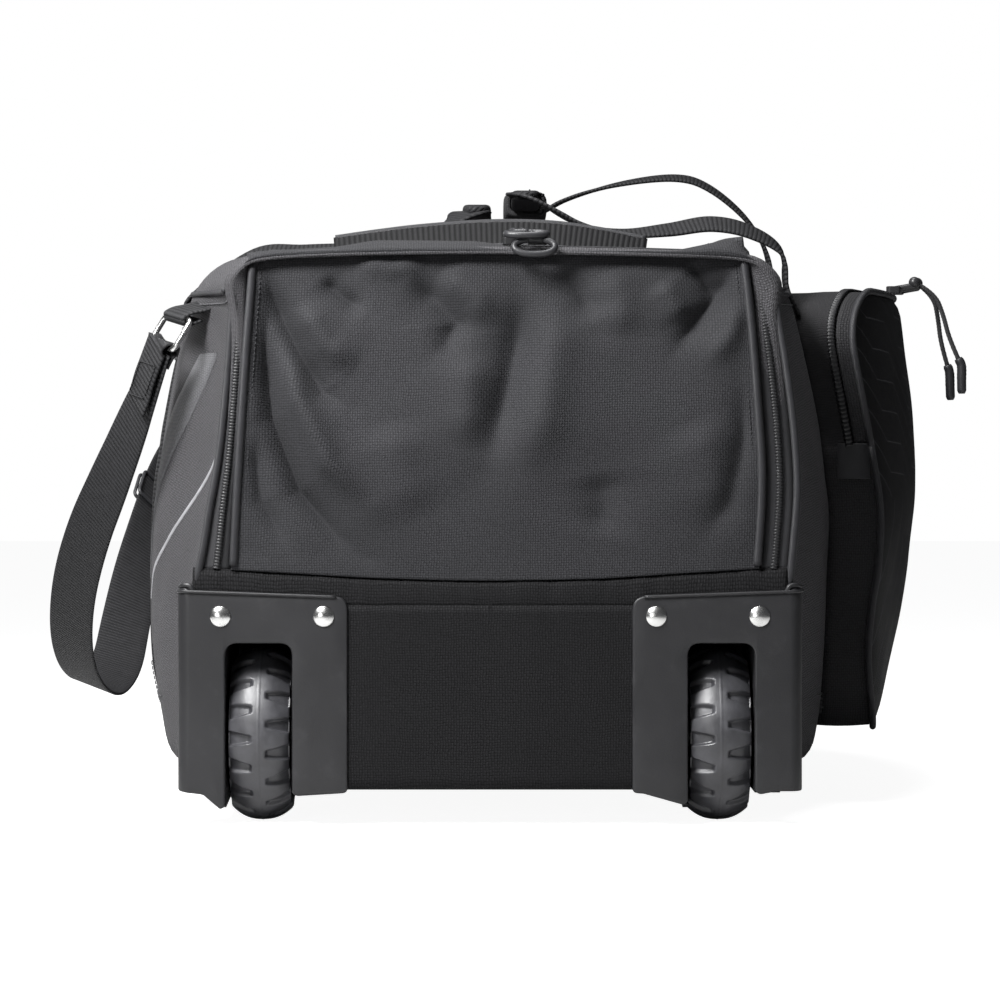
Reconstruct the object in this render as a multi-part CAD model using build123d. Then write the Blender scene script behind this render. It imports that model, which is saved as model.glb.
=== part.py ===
from build123d import *
import os
from math import cos, pi, radians, sin

# A wheeled hockey equipment bag. All sizes are in millimetres.
# While the pieces are made, x = 0 is the bag's middle plane, y = 0 is the fabric of the
# wheel end, y grows towards the far end, and z = 0 is the ground.

# Bag body
BODY_LENGTH = 835.0
END_TOP = 361.0            # top of the bag at the wheel end
TOP_RISE = 13.0            # how much higher the filled top is at the middle of the bag
CROWN = 4.0                # arch of the top across the bag
FLOOR_GAP = 26.0           # underside of the bag above the ground
SHOULDER_SHARE = 0.885     # height of the shoulders between underside and top
END_HALF_WIDTH = 188.0
SWELL = 50.0               # how far a filled side stands out beyond the wheel end
BASE_SWELL = 40.0          # the same, at the bottom edge
TOP_HALF_WIDTH = END_HALF_WIDTH - 31
BASE_CORNER = 20.0
FABRIC = 3.0               # wall of the soft shell

# Stations along the bag: share of the length, share of the swell, share of the top rise
STATIONS = [
    (0.00, 0.00, 0.00),
    (0.055, 0.05, 0.10),
    (0.17, 0.74, 0.50),
    (0.41, 1.00, 1.00),
    (0.72, 0.96, 0.90),
    (0.945, 0.30, 0.20),
    (1.00, -0.15, -0.60),
]

# Wheels and axles
WHEEL_RADIUS = 55.0
WHEEL_WIDTH = 38.0
HALF_TRACK = END_HALF_WIDTH - 42.5
WHEEL_Y = WHEEL_RADIUS - 10  # the tread stands a little in front of the housing
HUB_RADIUS = WHEEL_RADIUS - 17
HUB_WIDTH = WHEEL_WIDTH - 6
AXLE_RADIUS = 4.0
RUNNING_FIT = 0.05
BUSH_WALL = 3.0
BUSH_END_PLAY = 0.75
AXLE_HEAD_RADIUS = 7.0
AXLE_HEAD = 3.0

# Wheel housings
HOUSING_INNER = HALF_TRACK - 56
HOUSING_OUTER = END_HALF_WIDTH + 8.6
PLATE = 4.0
PLATE_BOTTOM = 20.0
WALL = 3.0
SLOT_HALF = WHEEL_WIDTH / 2 + 2
SLOT_TOP = 2 * WHEEL_RADIUS + 5
SLOT_CORNER = 6.0
WELL_DEPTH = 2 * WHEEL_RADIUS
WELL_TOP = 2 * WHEEL_RADIUS + 14
WELL_BACK_BOTTOM = 40.0
WELL_CLEAR = 0.6
SIDE_WRAP = 34.0
FLANGE = 3.0
FIN_BOTTOM = 11.0
BOSS_RADIUS = 9.0
BOSS_LENGTH = 7.0
RIVET_NEAR = HALF_TRACK - 41
RIVET_FAR = HALF_TRACK + 24
RIVET_Z = WELL_TOP + 8
PLATE_TOP_INNER = RIVET_Z + 14
PLATE_TOP_OUTER = RIVET_Z + 18
RIVET_HEAD = 6.5
RIVET_DOME = 2.6
RIVET_SHANK = 2.2
HOLE_CLEAR = 0.1
BACKING = 1.5
BACKING_HALF_HEIGHT = 3.5

# Wheel end
WRAP = 2.0                 # bottom wrap panel
SEAM_Z = PLATE_TOP_OUTER + 8   # top seam of the wrap panel
FLAP_GAP = 1.6             # from the seam to the flap
FLAP_HALF_BOTTOM = END_HALF_WIDTH - 19
FLAP_HALF_TOP = END_HALF_WIDTH - 31
FLAP_CORNER = 12.0
FLAP_LIP = 18.0            # depth of the flap's turned-over top
EDGE_GAP = 0.8             # round the flap, in the shell
PIPING = 5.0
PIPING_LIFT = 6.0          # start of the flap's piping above the seam
ZIP_TAPE = 1.5
ZIP_WIDTH = 9.0
ZIP_TOP_Z = END_TOP - 16    # top of the zip's side runs on the gusset
LINE_GAP = 2.0             # between pipings, tapes and edges

# Boards, rails and feet
BOARD = 3.0
BOARD_GAP = 0.5
BOARD_MARGIN = 30.0
RAIL_PITCH = 110.0
RAIL_WIDTH = 16.0
RAIL_HEIGHT = 13.0
RAIL_START = WELL_DEPTH + 30
RAIL_END_MARGIN = 105.0
SCREW_RADIUS = 2.0
SCREW_HEAD = 4.5
SCREW_HEAD_HEIGHT = 2.0
SCREWS_PER_RAIL = 3
FOOT_X = END_HALF_WIDTH - 48
FOOT_WIDTH = 60.0
FOOT_DEPTH = 50.0
FOOT_END_MARGIN = 22.0

# Zip sliders and pulls
SLIDER_LENGTH = 12.0
SLIDER_WIDTH = 9.0
SLIDER_HEIGHT = 4.5
SLIDER_CLEAR = 0.4
BRIDGE_WIDTH = 3.0
BRIDGE_HEIGHT = 4.6
PIN_RADIUS = 1.1
PIN_CLEAR = 0.35
ARM_WIDTH = 1.6
ARM_CLEAR = 0.6
RING_LENGTH = 30.0
RING_HEIGHT = 14.0
RING_TUBE = 3.6
UPPER_SLIDER_X = 14.0
LOWER_SLIDER_X = 30.0
MAIN_ZIP_HALF = 12.0
MAIN_ZIP_START = 110.0
MAIN_ZIP_END = BODY_LENGTH - 95
MAIN_SLIDER_Y = BODY_LENGTH - 235
MAIN_PULL_LENGTH = 28.0

# Webbing
WEB = 38.0
WEB_THICK = 2.5
SEWN_THICK = 1.6
HANDLE_X = END_HALF_WIDTH + 18   # line that the carry handles turn about
HANDLE_Z = FLOOR_GAP + SHOULDER_SHARE * (END_TOP - FLOOR_GAP) + 33.525
LEFT_LEGS_Y = (240.0, 500.0)
RIGHT_LEGS_Y = (175.0, 455.0)
GRIP_WIDTH = 20.0
GRIP_HEIGHT = 9.0
LEFT_GRIP = (-10.0, HANDLE_Z + 49)
RIGHT_GRIP = (24.0, HANDLE_Z + 54)
# Legs of the handles: share of the way in to the grip, and rise above the turning line
LEFT_SPAN = HANDLE_X + LEFT_GRIP[0]
LEFT_LEG = [(0, 0), (11.76 / LEFT_SPAN, 12), (56.056 / LEFT_SPAN, 25), (0.59, 32), (0.82, 40), (0.98, 48)]
RIGHT_NEAR_LEG = [(0, 0), (0.05, 16), (0.17, 30), (0.31, 35), (0.47, 31), (0.64, 29), (0.81, 36), (0.97, 52)]
RIGHT_FAR_LEG = [(0, 0), (-0.015, 29), (0.07, 57), (0.225, 81), (0.37, 89), (0.61, 84), (0.83, 72), (0.98, 55)]
SLEEVE_LENGTH = 130.0
SLEEVE_WALL = 5.0
SLEEVE_CLEAR = 0.3
SEWN_BOTTOM = 60.0
SEWN_TOP = HANDLE_Z - 10
GRAB_HALF_LENGTH = END_HALF_WIDTH - 88
GRAB_WIDTH = 30.0
GRAB_Y = 47.0
GRAB_LIFT = 12.0           # middle line of the grab handle above the wheel end's top
GRAB_ARCH = 3.0
GRAB_TILT = 30.0

# Shoulder strap and its rings
RING_WIRE = 4.0
RING_INSIDE = WEB + 4
RING_DROP = 22.0
EYE_WALL = 2.4
EYE_CLEAR = 0.15
TAB_LENGTH = 34.0
SLIDE_BAR = 2.5
SLIDE_CLEAR = 2.0
SLIDE_RUN = 12            # run of the strap that the slide sits on
RING_NEAR_Y = 92.0
RING_FAR_Y = BODY_LENGTH - 100
RING_STAND_OFF = 0.25 * WEB + 1.5
RING_BELOW_TOP = (1 - SHOULDER_SHARE) * (END_TOP - FLOOR_GAP) - 1.525
RING_LEAN = (-0.50, -0.10, -0.85)
RING_BAR = (0.50, -0.87, 0.0)
STRAP_SPAN = 643.0         # run between the rings that the route is written for
# The strap's middle line: out from the wheel end's side, along from the near ring, down from END_TOP
STRAP_ROUTE = [
    (38, 6, 84),
    (51, 24, 112),
    (67, 48, 145),
    (86, 84, 181),
    (102, 134, 221),
    (110, 188, 259),
    (109, 240, 286),
    (101, 290, 299),
    (93, 338, 285),
    (91, 382, 253),
    (87, 426, 215),
    (80, 470, 177),
    (74, 514, 143),
    (62, 562, 113),
    (49, 604, 93),
    (43, 632, 77),
]

# Side pocket, on the right
POCKET_START = 150.0
POCKET_END = 570.0
POCKET_BOTTOM = 50.0
POCKET_TOP = END_TOP - 16
POCKET_EDGE_X = END_HALF_WIDTH + SWELL + 24
POCKET_BULGE_X = POCKET_EDGE_X + 38
POCKET_CORNER = 45.0
POCKET_SKIN_GAP = 2.4      # over the webbing that runs under the pocket
POCKET_HINGE_Z = POCKET_TOP - 113
CAP_DEPTH = 11.0           # of the gusset that opens with the pocket's face
CAP_GAP = 0.7
POCKET_TAPE = 1.2
POCKET_TAPE_WIDTH = 6.0
POCKET_SLIDERS_Y = (225.0, 247.0)
KNOB_RADIUS = 4.0
CORD_RADIUS = 1.6
SLEEVE_RADIUS = 3.2
# Points of the pull cords and the sleeves' ends: out from POCKET_BULGE_X, along from POCKET_START,
# up from POCKET_TOP
CORD_ROUTES = [
    [(-3, 76, 7), (8, 77, 1), (14, 78, -14), (18, 79, -30), (25, 80, -45)],
    [(1, 98, 7), (10, 99, 0), (13, 100, -16), (15, 101, -33), (20, 102, -49)],
]
SLEEVE_ENDS = [(27, 81, -68), (22, 103, -72)]

# Far end
TOW_Z = END_TOP - 43
TOW_HALF = 62.0
TOW_DROP = 40.0
TOW_STAND_OFF = 19.0
TOW_CORE = 6.0
TOW_GRIP = 11.5
TOW_LEG_WIDTH = 25.0
TOW_START = 2.6

# Trim on the left side
BAND_OUTLINE = [(64, END_TOP - 61), (92, END_TOP - 61), (178, END_TOP - 156), (178, END_TOP - 211)]
LINE_OUTLINE = [(26, END_TOP - 99), (30, END_TOP - 99), (168, END_TOP - 233), (168, END_TOP - 238)]
TRIM_THICK = 1.0


def block(x0, x1, y0, y1, z0, z1):
    """A box from its low and high faces, given in any order."""
    box = Box(abs(x1 - x0), abs(y1 - y0), abs(z1 - z0))
    return Pos((x0 + x1) / 2, (y0 + y1) / 2, (z0 + z1) / 2) * box


def rod(start, end, radius):
    """A round bar between two points."""
    start = Vector(*start)
    end = Vector(*end)
    axis = end - start
    return Solid.make_cylinder(radius, axis.length, Plane(origin=start, z_dir=axis))


def prism_xz(points, y0, y1):
    """An outline in the x-z plane, extruded from y0 to y1."""
    face = Face(Polyline(*[(x, y0, z) for x, z in points], close=True).wire())
    return Solid.extrude(face, Vector(0, y1 - y0, 0))


def prism_yz(points, x0, x1):
    """An outline in the y-z plane, extruded from x0 to x1."""
    face = Face(Polyline(*[(x0, y, z) for y, z in points], close=True).wire())
    return Solid.extrude(face, Vector(x1 - x0, 0, 0))


def offset_line(points, distance):
    """The points of an open line, moved sideways by a distance, with mitred corners."""
    flat = [Vector(a, b, 0) for a, b in points]
    moved = []
    for i, point in enumerate(flat):
        before = flat[max(i - 1, 0)]
        after = flat[min(i + 1, len(flat) - 1)]
        into = (point - before).normalized() if i > 0 else (after - point).normalized()
        out = (after - point).normalized() if i < len(flat) - 1 else into
        bisector = (into + out).normalized()
        stretch = 1 / max(bisector.dot(into), 0.5)
        moved.append((point.X - bisector.Y * distance * stretch, point.Y + bisector.X * distance * stretch))
    return moved


def strip_xz(points, thickness, y0, y1):
    """Webbing whose middle line lies in the x-z plane and whose width runs along y."""
    upper = offset_line(points, thickness / 2)
    lower = offset_line(points, -thickness / 2)
    return prism_xz(upper + lower[::-1], y0, y1)


def ribbon(centres, width_hints, width, thickness):
    """Webbing through points in space, with a hint of its width's direction at each."""
    sections = []
    for i, centre in enumerate(centres):
        before = centres[max(i - 1, 0)]
        after = centres[min(i + 1, len(centres) - 1)]
        along = (after - before).normalized()
        hint = width_hints[i]
        across = (hint - along * hint.dot(along)).normalized()
        up = along.cross(across)
        corners = [
            centre + across * (sx * width / 2) + up * (sz * thickness / 2)
            for sx, sz in ((-1, -1), (1, -1), (1, 1), (-1, 1))
        ]
        sections.append(Polyline(*corners, close=True).wire())
    return Solid.make_loft(sections, True)


# ------------------------------------------------------------------ bag body

def shoulder_at(y):
    """Half-width of the bag's shoulder at y."""
    for (share_0, swell_0, _), (share_1, swell_1, _) in zip(STATIONS, STATIONS[1:]):
        low = share_0 * BODY_LENGTH
        high = share_1 * BODY_LENGTH
        if low <= y <= high:
            swell = swell_0 + (swell_1 - swell_0) * (y - low) / (high - low)
            return shoulder_half(swell)
    return END_HALF_WIDTH


def shoulder_half(swell):
    return END_HALF_WIDTH + (SWELL - 18) * swell - 7


def body_section(y, swell, rise, inset):
    """One closed cross-section of the filled bag, moved in by the inset."""
    top = END_TOP + TOP_RISE * rise - inset
    side = END_HALF_WIDTH + SWELL * swell - inset
    base = END_HALF_WIDTH + BASE_SWELL * swell - inset
    shoulder = shoulder_half(swell) - inset
    flat = TOP_HALF_WIDTH
    floor = FLOOR_GAP + inset
    corner = BASE_CORNER - inset
    shoulder_z = floor + SHOULDER_SHARE * (top - floor)
    side_z = floor + 0.54 * (top - floor)
    turn = corner * (1 - sin(pi / 4))
    right = [
        ThreePointArc((base - corner, y, floor), (base - turn, y, floor + turn), (base, y, floor + corner)),
        ThreePointArc((base, y, floor + corner), (side, y, side_z), (shoulder, y, shoulder_z)),
        ThreePointArc(
            (shoulder, y, shoulder_z),
            (flat + 0.72 * (shoulder - flat), y, shoulder_z + 0.66 * (top - shoulder_z)),
            (flat, y, top),
        ),
    ]
    left = [mirror(edge, Plane.YZ) for edge in right]
    bottom = Line((corner - base, y, floor), (base - corner, y, floor))
    crown = ThreePointArc((flat, y, top), (0, y, top + CROWN), (-flat, y, top))
    edges = [bottom] + right + [crown] + left
    return Wire([edge.edge() for edge in edges])


def body_solid(inset=0.0):
    """The whole filled bag as one solid. Its ends move in by the inset too."""
    sections = []
    for i, (share, swell, rise) in enumerate(STATIONS):
        y = share * BODY_LENGTH
        if i == 0:
            y += max(inset, 0)
        if i == len(STATIONS) - 1:
            y -= max(inset, 0)
        sections.append(body_section(y, swell, rise, inset))
    return Solid.make_loft(sections, True)


def skin(thickness, region, gap=0.0):
    """A layer of cloth on the bag's outside, inside a region."""
    return (body_solid(-gap - thickness) - body_solid(-gap)) & region


def well_block(side, clear):
    """The space that one wheel well takes out of the bag."""
    half = SLOT_HALF + WALL + clear
    x = side * HALF_TRACK
    depth = WELL_DEPTH + WALL + clear
    return block(x - half, x + half, -PLATE - WRAP - 1, depth, 0, WELL_TOP + WALL + clear)


def rivet_places():
    """Middle of each rivet in the x-z plane."""
    return [(side * x, RIVET_Z) for side in (-1, 1) for x in (RIVET_NEAR, RIVET_FAR)]


def rivet_holes():
    """Cutters for every layer that a housing rivet passes."""
    radius = RIVET_SHANK + HOLE_CLEAR
    return [rod((x, -20, z), (x, 20, z), radius) for x, z in rivet_places()]


def screw_places():
    """Middle of each rail screw in the x-y plane."""
    start = RAIL_START + 20
    end = BODY_LENGTH - RAIL_END_MARGIN - 20
    step = (end - start) / (SCREWS_PER_RAIL - 1)
    return [(x, start + i * step) for x in (-RAIL_PITCH, 0, RAIL_PITCH) for i in range(SCREWS_PER_RAIL)]


def screw_holes():
    radius = SCREW_RADIUS + HOLE_CLEAR
    return [rod((x, y, 0), (x, y, 60), radius) for x, y in screw_places()]


def flap_outline(grow):
    """The end flap's outline in the x-z plane, grown outwards."""
    bottom = SEAM_Z + FLAP_GAP - grow
    top = END_TOP + grow
    return [
        (-FLAP_HALF_BOTTOM - grow, bottom),
        (FLAP_HALF_BOTTOM + grow, bottom),
        (FLAP_HALF_TOP + grow, top - FLAP_CORNER),
        (FLAP_HALF_TOP + grow - FLAP_CORNER, top),
        (-FLAP_HALF_TOP - grow + FLAP_CORNER, top),
        (-FLAP_HALF_TOP - grow, top - FLAP_CORNER),
    ]


def lip_half():
    return FLAP_HALF_TOP - FLAP_CORNER


def body_shell():
    shell = body_solid() - body_solid(FABRIC)
    shell -= prism_xz(flap_outline(EDGE_GAP), -1, FABRIC + 1)
    lip = lip_half() + EDGE_GAP
    shell -= block(-lip, lip, -1, FLAP_LIP + EDGE_GAP, END_TOP - FABRIC - 1, END_TOP + CROWN + 1)
    for side in (-1, 1):
        shell -= well_block(side, WELL_CLEAR)
    for hole in rivet_holes() + screw_holes():
        shell -= hole
    return shell


def base_wrap():
    half = END_HALF_WIDTH
    front = block(-half, half, -WRAP, 0, FLOOR_GAP - WRAP, SEAM_Z)
    under_half = END_HALF_WIDTH - BASE_CORNER
    under = block(-under_half, under_half, -WRAP, RAIL_START - 12, FLOOR_GAP - WRAP, FLOOR_GAP)
    wrap = front + under
    for side in (-1, 1):
        wrap -= well_block(side, WELL_CLEAR)
    for hole in rivet_holes():
        wrap -= hole
    return wrap


def end_board():
    half = END_HALF_WIDTH - 8
    start = FABRIC + BOARD_GAP
    board = block(-half, half, start, start + BOARD, FLOOR_GAP + FABRIC + 8, SEAM_Z - 4)
    for side in (-1, 1):
        board -= well_block(side, WELL_CLEAR)
    for hole in rivet_holes():
        board -= hole
    return board


def base_board():
    half = END_HALF_WIDTH - BASE_CORNER - 6
    low = FLOOR_GAP + FABRIC + BOARD_GAP
    start = WELL_DEPTH + WALL + 12
    board = block(-half, half, start, BODY_LENGTH - BOARD_MARGIN, low, low + BOARD)
    board = fillet(board.edges().filter_by(Axis.Z), BASE_CORNER)
    for hole in screw_holes():
        board -= hole
    return board


def backing_plates():
    start = FABRIC + BOARD_GAP + BOARD
    plates = []
    for side in (-1, 1):
        low = side * (RIVET_NEAR - 8)
        high = side * (RIVET_FAR + 8)
        plate = block(low, high, start, start + BACKING, RIVET_Z - BACKING_HALF_HEIGHT,
                      RIVET_Z + BACKING_HALF_HEIGHT)
        for hole in rivet_holes():
            plate -= hole
        plates.append(plate)
    return plates


def housing_rivets():
    """Domed rivets with a set tail behind the backing plates."""
    head_y = -WRAP - PLATE
    tail_y = FABRIC + BOARD_GAP + BOARD + BACKING
    ball = (RIVET_HEAD**2 + RIVET_DOME**2) / (2 * RIVET_DOME)
    rivets = []
    for x, z in rivet_places():
        dome = Pos(x, head_y - RIVET_DOME + ball, z) * Sphere(ball)
        dome &= block(x - 10, x + 10, head_y - RIVET_DOME, head_y, z - 10, z + 10)
        shank = rod((x, head_y, z), (x, tail_y + 1.5, z), RIVET_SHANK)
        tail = rod((x, tail_y, z), (x, tail_y + 1.5, z), RIVET_SHANK + 1.2)
        rivets.append(dome + shank + tail)
    return rivets


# ------------------------------------------------------------------ wheel housings

def wheel_housing(side):
    """Moulded corner: front plate, side wrap, flange under the bag and the wheel's well."""
    centre = side * HALF_TRACK
    inner = side * HOUSING_INNER
    outer = side * HOUSING_OUTER
    front = -WRAP - PLATE
    outline = [
        (inner, PLATE_BOTTOM),
        (inner, PLATE_TOP_INNER - 5),
        (inner + side * 5, PLATE_TOP_INNER),
        (outer, PLATE_TOP_OUTER),
        (outer, PLATE_BOTTOM + 9),
        (outer - side * 9, PLATE_BOTTOM),
    ]
    plate = prism_xz(outline, front, -WRAP)
    wrap = block(outer, outer - side * WALL, front, SIDE_WRAP, PLATE_BOTTOM + 9, PLATE_TOP_OUTER)
    flange_top = FLOOR_GAP - WRAP
    flange = block(inner + side * 2, outer - side * 14, front, WELL_DEPTH + WALL, flange_top - FLANGE, flange_top)
    half = SLOT_HALF + WALL
    well = block(centre - half, centre + half, front + 1, WELL_DEPTH + WALL, flange_top - FLANGE, WELL_TOP + WALL)
    body = plate + wrap + flange + well
    body -= block(centre - SLOT_HALF, centre + SLOT_HALF, -WRAP, WELL_DEPTH, 0, WELL_TOP)
    body -= block(centre - SLOT_HALF, centre + SLOT_HALF, 0, WELL_DEPTH + 10, 0, WELL_BACK_BOTTOM)
    slot = prism_xz([
        (centre - SLOT_HALF, 0),
        (centre + SLOT_HALF, 0),
        (centre + SLOT_HALF, SLOT_TOP - SLOT_CORNER),
        (centre + SLOT_HALF - SLOT_CORNER, SLOT_TOP),
        (centre - SLOT_HALF + SLOT_CORNER, SLOT_TOP),
        (centre - SLOT_HALF, SLOT_TOP - SLOT_CORNER),
    ], front - 1, 1)
    body -= slot
    fin_x = centre - SLOT_HALF
    fin = prism_yz([
        (front, PLATE_BOTTOM + 6),
        (front, FIN_BOTTOM + 5),
        (front + 12, FIN_BOTTOM),
        (WHEEL_Y + 10, FIN_BOTTOM + 4),
        (WHEEL_Y + 40, PLATE_BOTTOM + 6),
    ], fin_x - WALL, fin_x)
    body += fin
    for way in (-1, 1):
        start = centre + way * (SLOT_HALF + WALL)
        body += rod((start, WHEEL_Y, WHEEL_RADIUS), (start + way * BOSS_LENGTH, WHEEL_Y, WHEEL_RADIUS), BOSS_RADIUS)
    reach = SLOT_HALF + WALL + BOSS_LENGTH + 5
    body -= rod((centre - reach, WHEEL_Y, WHEEL_RADIUS), (centre + reach, WHEEL_Y, WHEEL_RADIUS),
                AXLE_RADIUS + RUNNING_FIT)
    for hole in rivet_holes():
        body -= hole
    return body


def boss_space(side):
    """Room for the axle's bosses and ends in the shell."""
    centre = side * HALF_TRACK
    reach = SLOT_HALF + WALL + BOSS_LENGTH + AXLE_HEAD + 3
    return rod((centre - reach, WHEEL_Y, WHEEL_RADIUS), (centre + reach, WHEEL_Y, WHEEL_RADIUS), BOSS_RADIUS + 1)


def axle(side):
    """Steel pin with a flat head on the outside and a push nut on the inside."""
    centre = side * HALF_TRACK
    half = SLOT_HALF + WALL + BOSS_LENGTH
    pin = rod((centre - half, WHEEL_Y, WHEEL_RADIUS), (centre + half, WHEEL_Y, WHEEL_RADIUS), AXLE_RADIUS)
    for way in (-1, 1):
        start = centre + way * half
        pin += rod((start, WHEEL_Y, WHEEL_RADIUS), (start + way * AXLE_HEAD, WHEEL_Y, WHEEL_RADIUS),
                   AXLE_HEAD_RADIUS)
    return pin


def turned(points, x, y, z):
    """A solid of revolution about the x direction. Points are (along, radius)."""
    face = Face(Polyline(*[(a, r, 0) for a, r in points], close=True).wire())
    return Pos(x, y, z) * Solid.revolve(face, 360, Axis.X)


def tyre(side):
    half = WHEEL_WIDTH / 2
    hub_half = HUB_WIDTH / 2
    crown = Polyline(
        (hub_half, HUB_RADIUS, 0), (half, HUB_RADIUS + 3, 0), (half, WHEEL_RADIUS - 7, 0),
    )
    tread = ThreePointArc((half, WHEEL_RADIUS - 7, 0), (0, WHEEL_RADIUS, 0), (-half, WHEEL_RADIUS - 7, 0))
    back = Polyline(
        (-half, WHEEL_RADIUS - 7, 0), (-half, HUB_RADIUS + 3, 0), (-hub_half, HUB_RADIUS, 0),
        (hub_half, HUB_RADIUS, 0),
    )
    face = Face(Wire(list(crown.edges()) + [tread.edge()] + list(back.edges())))
    return Pos(side * HALF_TRACK, WHEEL_Y, WHEEL_RADIUS) * Solid.revolve(face, 360, Axis.X)


def hub(side):
    half = HUB_WIDTH / 2
    bore = AXLE_RADIUS + RUNNING_FIT + BUSH_WALL
    outline = [
        (-half, bore), (-half, bore + 6), (-half + 10, bore + 8), (-half + 10, HUB_RADIUS - 6),
        (-half, HUB_RADIUS - 4), (-half, HUB_RADIUS), (half, HUB_RADIUS), (half, HUB_RADIUS - 4),
        (half - 10, HUB_RADIUS - 6), (half - 10, bore + 8), (half, bore + 6), (half, bore),
    ]
    return turned(outline, side * HALF_TRACK, WHEEL_Y, WHEEL_RADIUS)


def bush(side):
    half = SLOT_HALF - BUSH_END_PLAY
    hub_half = HUB_WIDTH / 2
    bore = AXLE_RADIUS + RUNNING_FIT
    outline = [
        (-half, bore), (-half, bore + 5), (-hub_half, bore + 5), (-hub_half, bore + BUSH_WALL),
        (hub_half, bore + BUSH_WALL), (hub_half, bore + 5), (half, bore + 5), (half, bore),
    ]
    return turned(outline, side * HALF_TRACK, WHEEL_Y, WHEEL_RADIUS)


# ------------------------------------------------------------------ rails and feet

def skid_rails():
    rails = []
    for x in (-RAIL_PITCH, 0, RAIL_PITCH):
        end = BODY_LENGTH - RAIL_END_MARGIN
        rail = block(x - RAIL_WIDTH / 2, x + RAIL_WIDTH / 2, RAIL_START, end, FLOOR_GAP - RAIL_HEIGHT, FLOOR_GAP)
        rail = chamfer(rail.edges().filter_by(Axis.Y).group_by(Axis.Z)[0], 4)
        for hole in screw_holes():
            rail -= hole
        for sx, sy in screw_places():
            rail -= rod((sx, sy, 0), (sx, sy, FLOOR_GAP - RAIL_HEIGHT + SCREW_HEAD_HEIGHT + 0.5), SCREW_HEAD + 0.3)
        rails.append(rail)
    return rails


def rail_screws():
    """Pan-head screws, sunk in the rails, that bite into the base board's top face."""
    head = FLOOR_GAP - RAIL_HEIGHT + 0.5
    top = FLOOR_GAP + FABRIC + BOARD_GAP + BOARD + 2
    return [
        rod((x, y, head), (x, y, head + SCREW_HEAD_HEIGHT), SCREW_HEAD)
        + rod((x, y, head), (x, y, top), SCREW_RADIUS)
        for x, y in screw_places()
    ]


def far_feet():
    feet = []
    high = BODY_LENGTH - FOOT_END_MARGIN
    for side in (-1, 1):
        x = side * FOOT_X
        foot = block(x - FOOT_WIDTH / 2, x + FOOT_WIDTH / 2, high - FOOT_DEPTH, high, 0, FLOOR_GAP)
        foot = fillet(foot.edges().filter_by(Axis.Z), 8)
        feet.append(chamfer(foot.edges().group_by(Axis.Z)[0], 3))
    return feet


# ------------------------------------------------------------------ end flap and its zip

def end_flap():
    """The panel of the wheel end, with its turned-over top edge."""
    panel = prism_xz(flap_outline(0), 0, FABRIC)
    half = lip_half()
    return panel + block(-half, half, 0, FLAP_LIP, END_TOP - FABRIC, END_TOP)


def flap_piping():
    low = SEAM_Z + PIPING_LIFT
    high = END_TOP - FLAP_CORNER
    y = -PIPING / 2 - 0.1
    pipes = []
    for side in (-1, 1):
        start = (side * (FLAP_HALF_BOTTOM - PIPING / 2), y, low)
        end = (side * (FLAP_HALF_TOP - PIPING / 2), y, high)
        pipes.append(rod(start, end, PIPING / 2))
    return pipes


def flap_tape():
    half = lip_half() - 4
    return block(-half, half, FLAP_LIP - ZIP_WIDTH, FLAP_LIP, END_TOP, END_TOP + ZIP_TAPE)


def end_zip():
    """The bag's half of the flap's zip: two side runs on the end and one on the top."""
    low = SEAM_Z + FLAP_GAP
    lean = (FLAP_HALF_BOTTOM - FLAP_HALF_TOP) / (END_TOP - SEAM_Z)
    runs = []
    for side in (-1, 1):
        near = side * (FLAP_HALF_BOTTOM + LINE_GAP)
        shift = -side * lean * (ZIP_TOP_Z - low)
        far = near + side * ZIP_WIDTH
        runs.append(prism_xz([(near, low), (far, low), (far + shift, ZIP_TOP_Z), (near + shift, ZIP_TOP_Z)],
                             -ZIP_TAPE, 0))
    half = lip_half() - 4
    start = FLAP_LIP + EDGE_GAP + 0.4
    top = block(-half, half, start, start + ZIP_WIDTH, END_TOP - 1, END_TOP + CROWN + ZIP_TAPE + 1)
    runs.append(skin(ZIP_TAPE, top))
    return runs


def end_piping():
    """Piping on the outer edge of the wheel end, outside the zip."""
    low = SEAM_Z + PIPING_LIFT
    y = -PIPING / 2 - 0.1
    offset = LINE_GAP * 2 + ZIP_WIDTH + PIPING / 2
    pipes = []
    for side in (-1, 1):
        start = (side * (FLAP_HALF_BOTTOM + offset), y, low)
        end = (side * (FLAP_HALF_TOP + offset), y, ZIP_TOP_Z)
        pipes.append(rod(start, end, PIPING / 2))
    return pipes


def zip_slider(x, y, z, along_x=True):
    """A zip slider with a bridge on top. z is its underside."""
    length = SLIDER_LENGTH if along_x else SLIDER_WIDTH
    width = SLIDER_WIDTH if along_x else SLIDER_LENGTH
    body = Pos(x, y, z + SLIDER_HEIGHT / 2) * Box(length, width, SLIDER_HEIGHT)
    body = fillet(body.edges().filter_by(Axis.Z), 2)
    top = z + SLIDER_HEIGHT
    bridge = block(x - BRIDGE_WIDTH / 2, x + BRIDGE_WIDTH / 2, y - 3.5, y + 3.5, top - 1, top + BRIDGE_HEIGHT)
    hole_z = pin_z(z)
    bridge -= rod((x - 5, y, hole_z), (x + 5, y, hole_z), PIN_RADIUS + PIN_CLEAR)
    return body + bridge


def pin_z(slider_z):
    """Height of a pull's pin for a slider whose underside is at slider_z."""
    return slider_z + SLIDER_HEIGHT + PIN_RADIUS + PIN_CLEAR + 0.6


def flap_slider_z():
    return END_TOP + CROWN + ZIP_TAPE + SLIDER_CLEAR


def flap_slider_y():
    return FLAP_LIP - ZIP_WIDTH / 2


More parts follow.
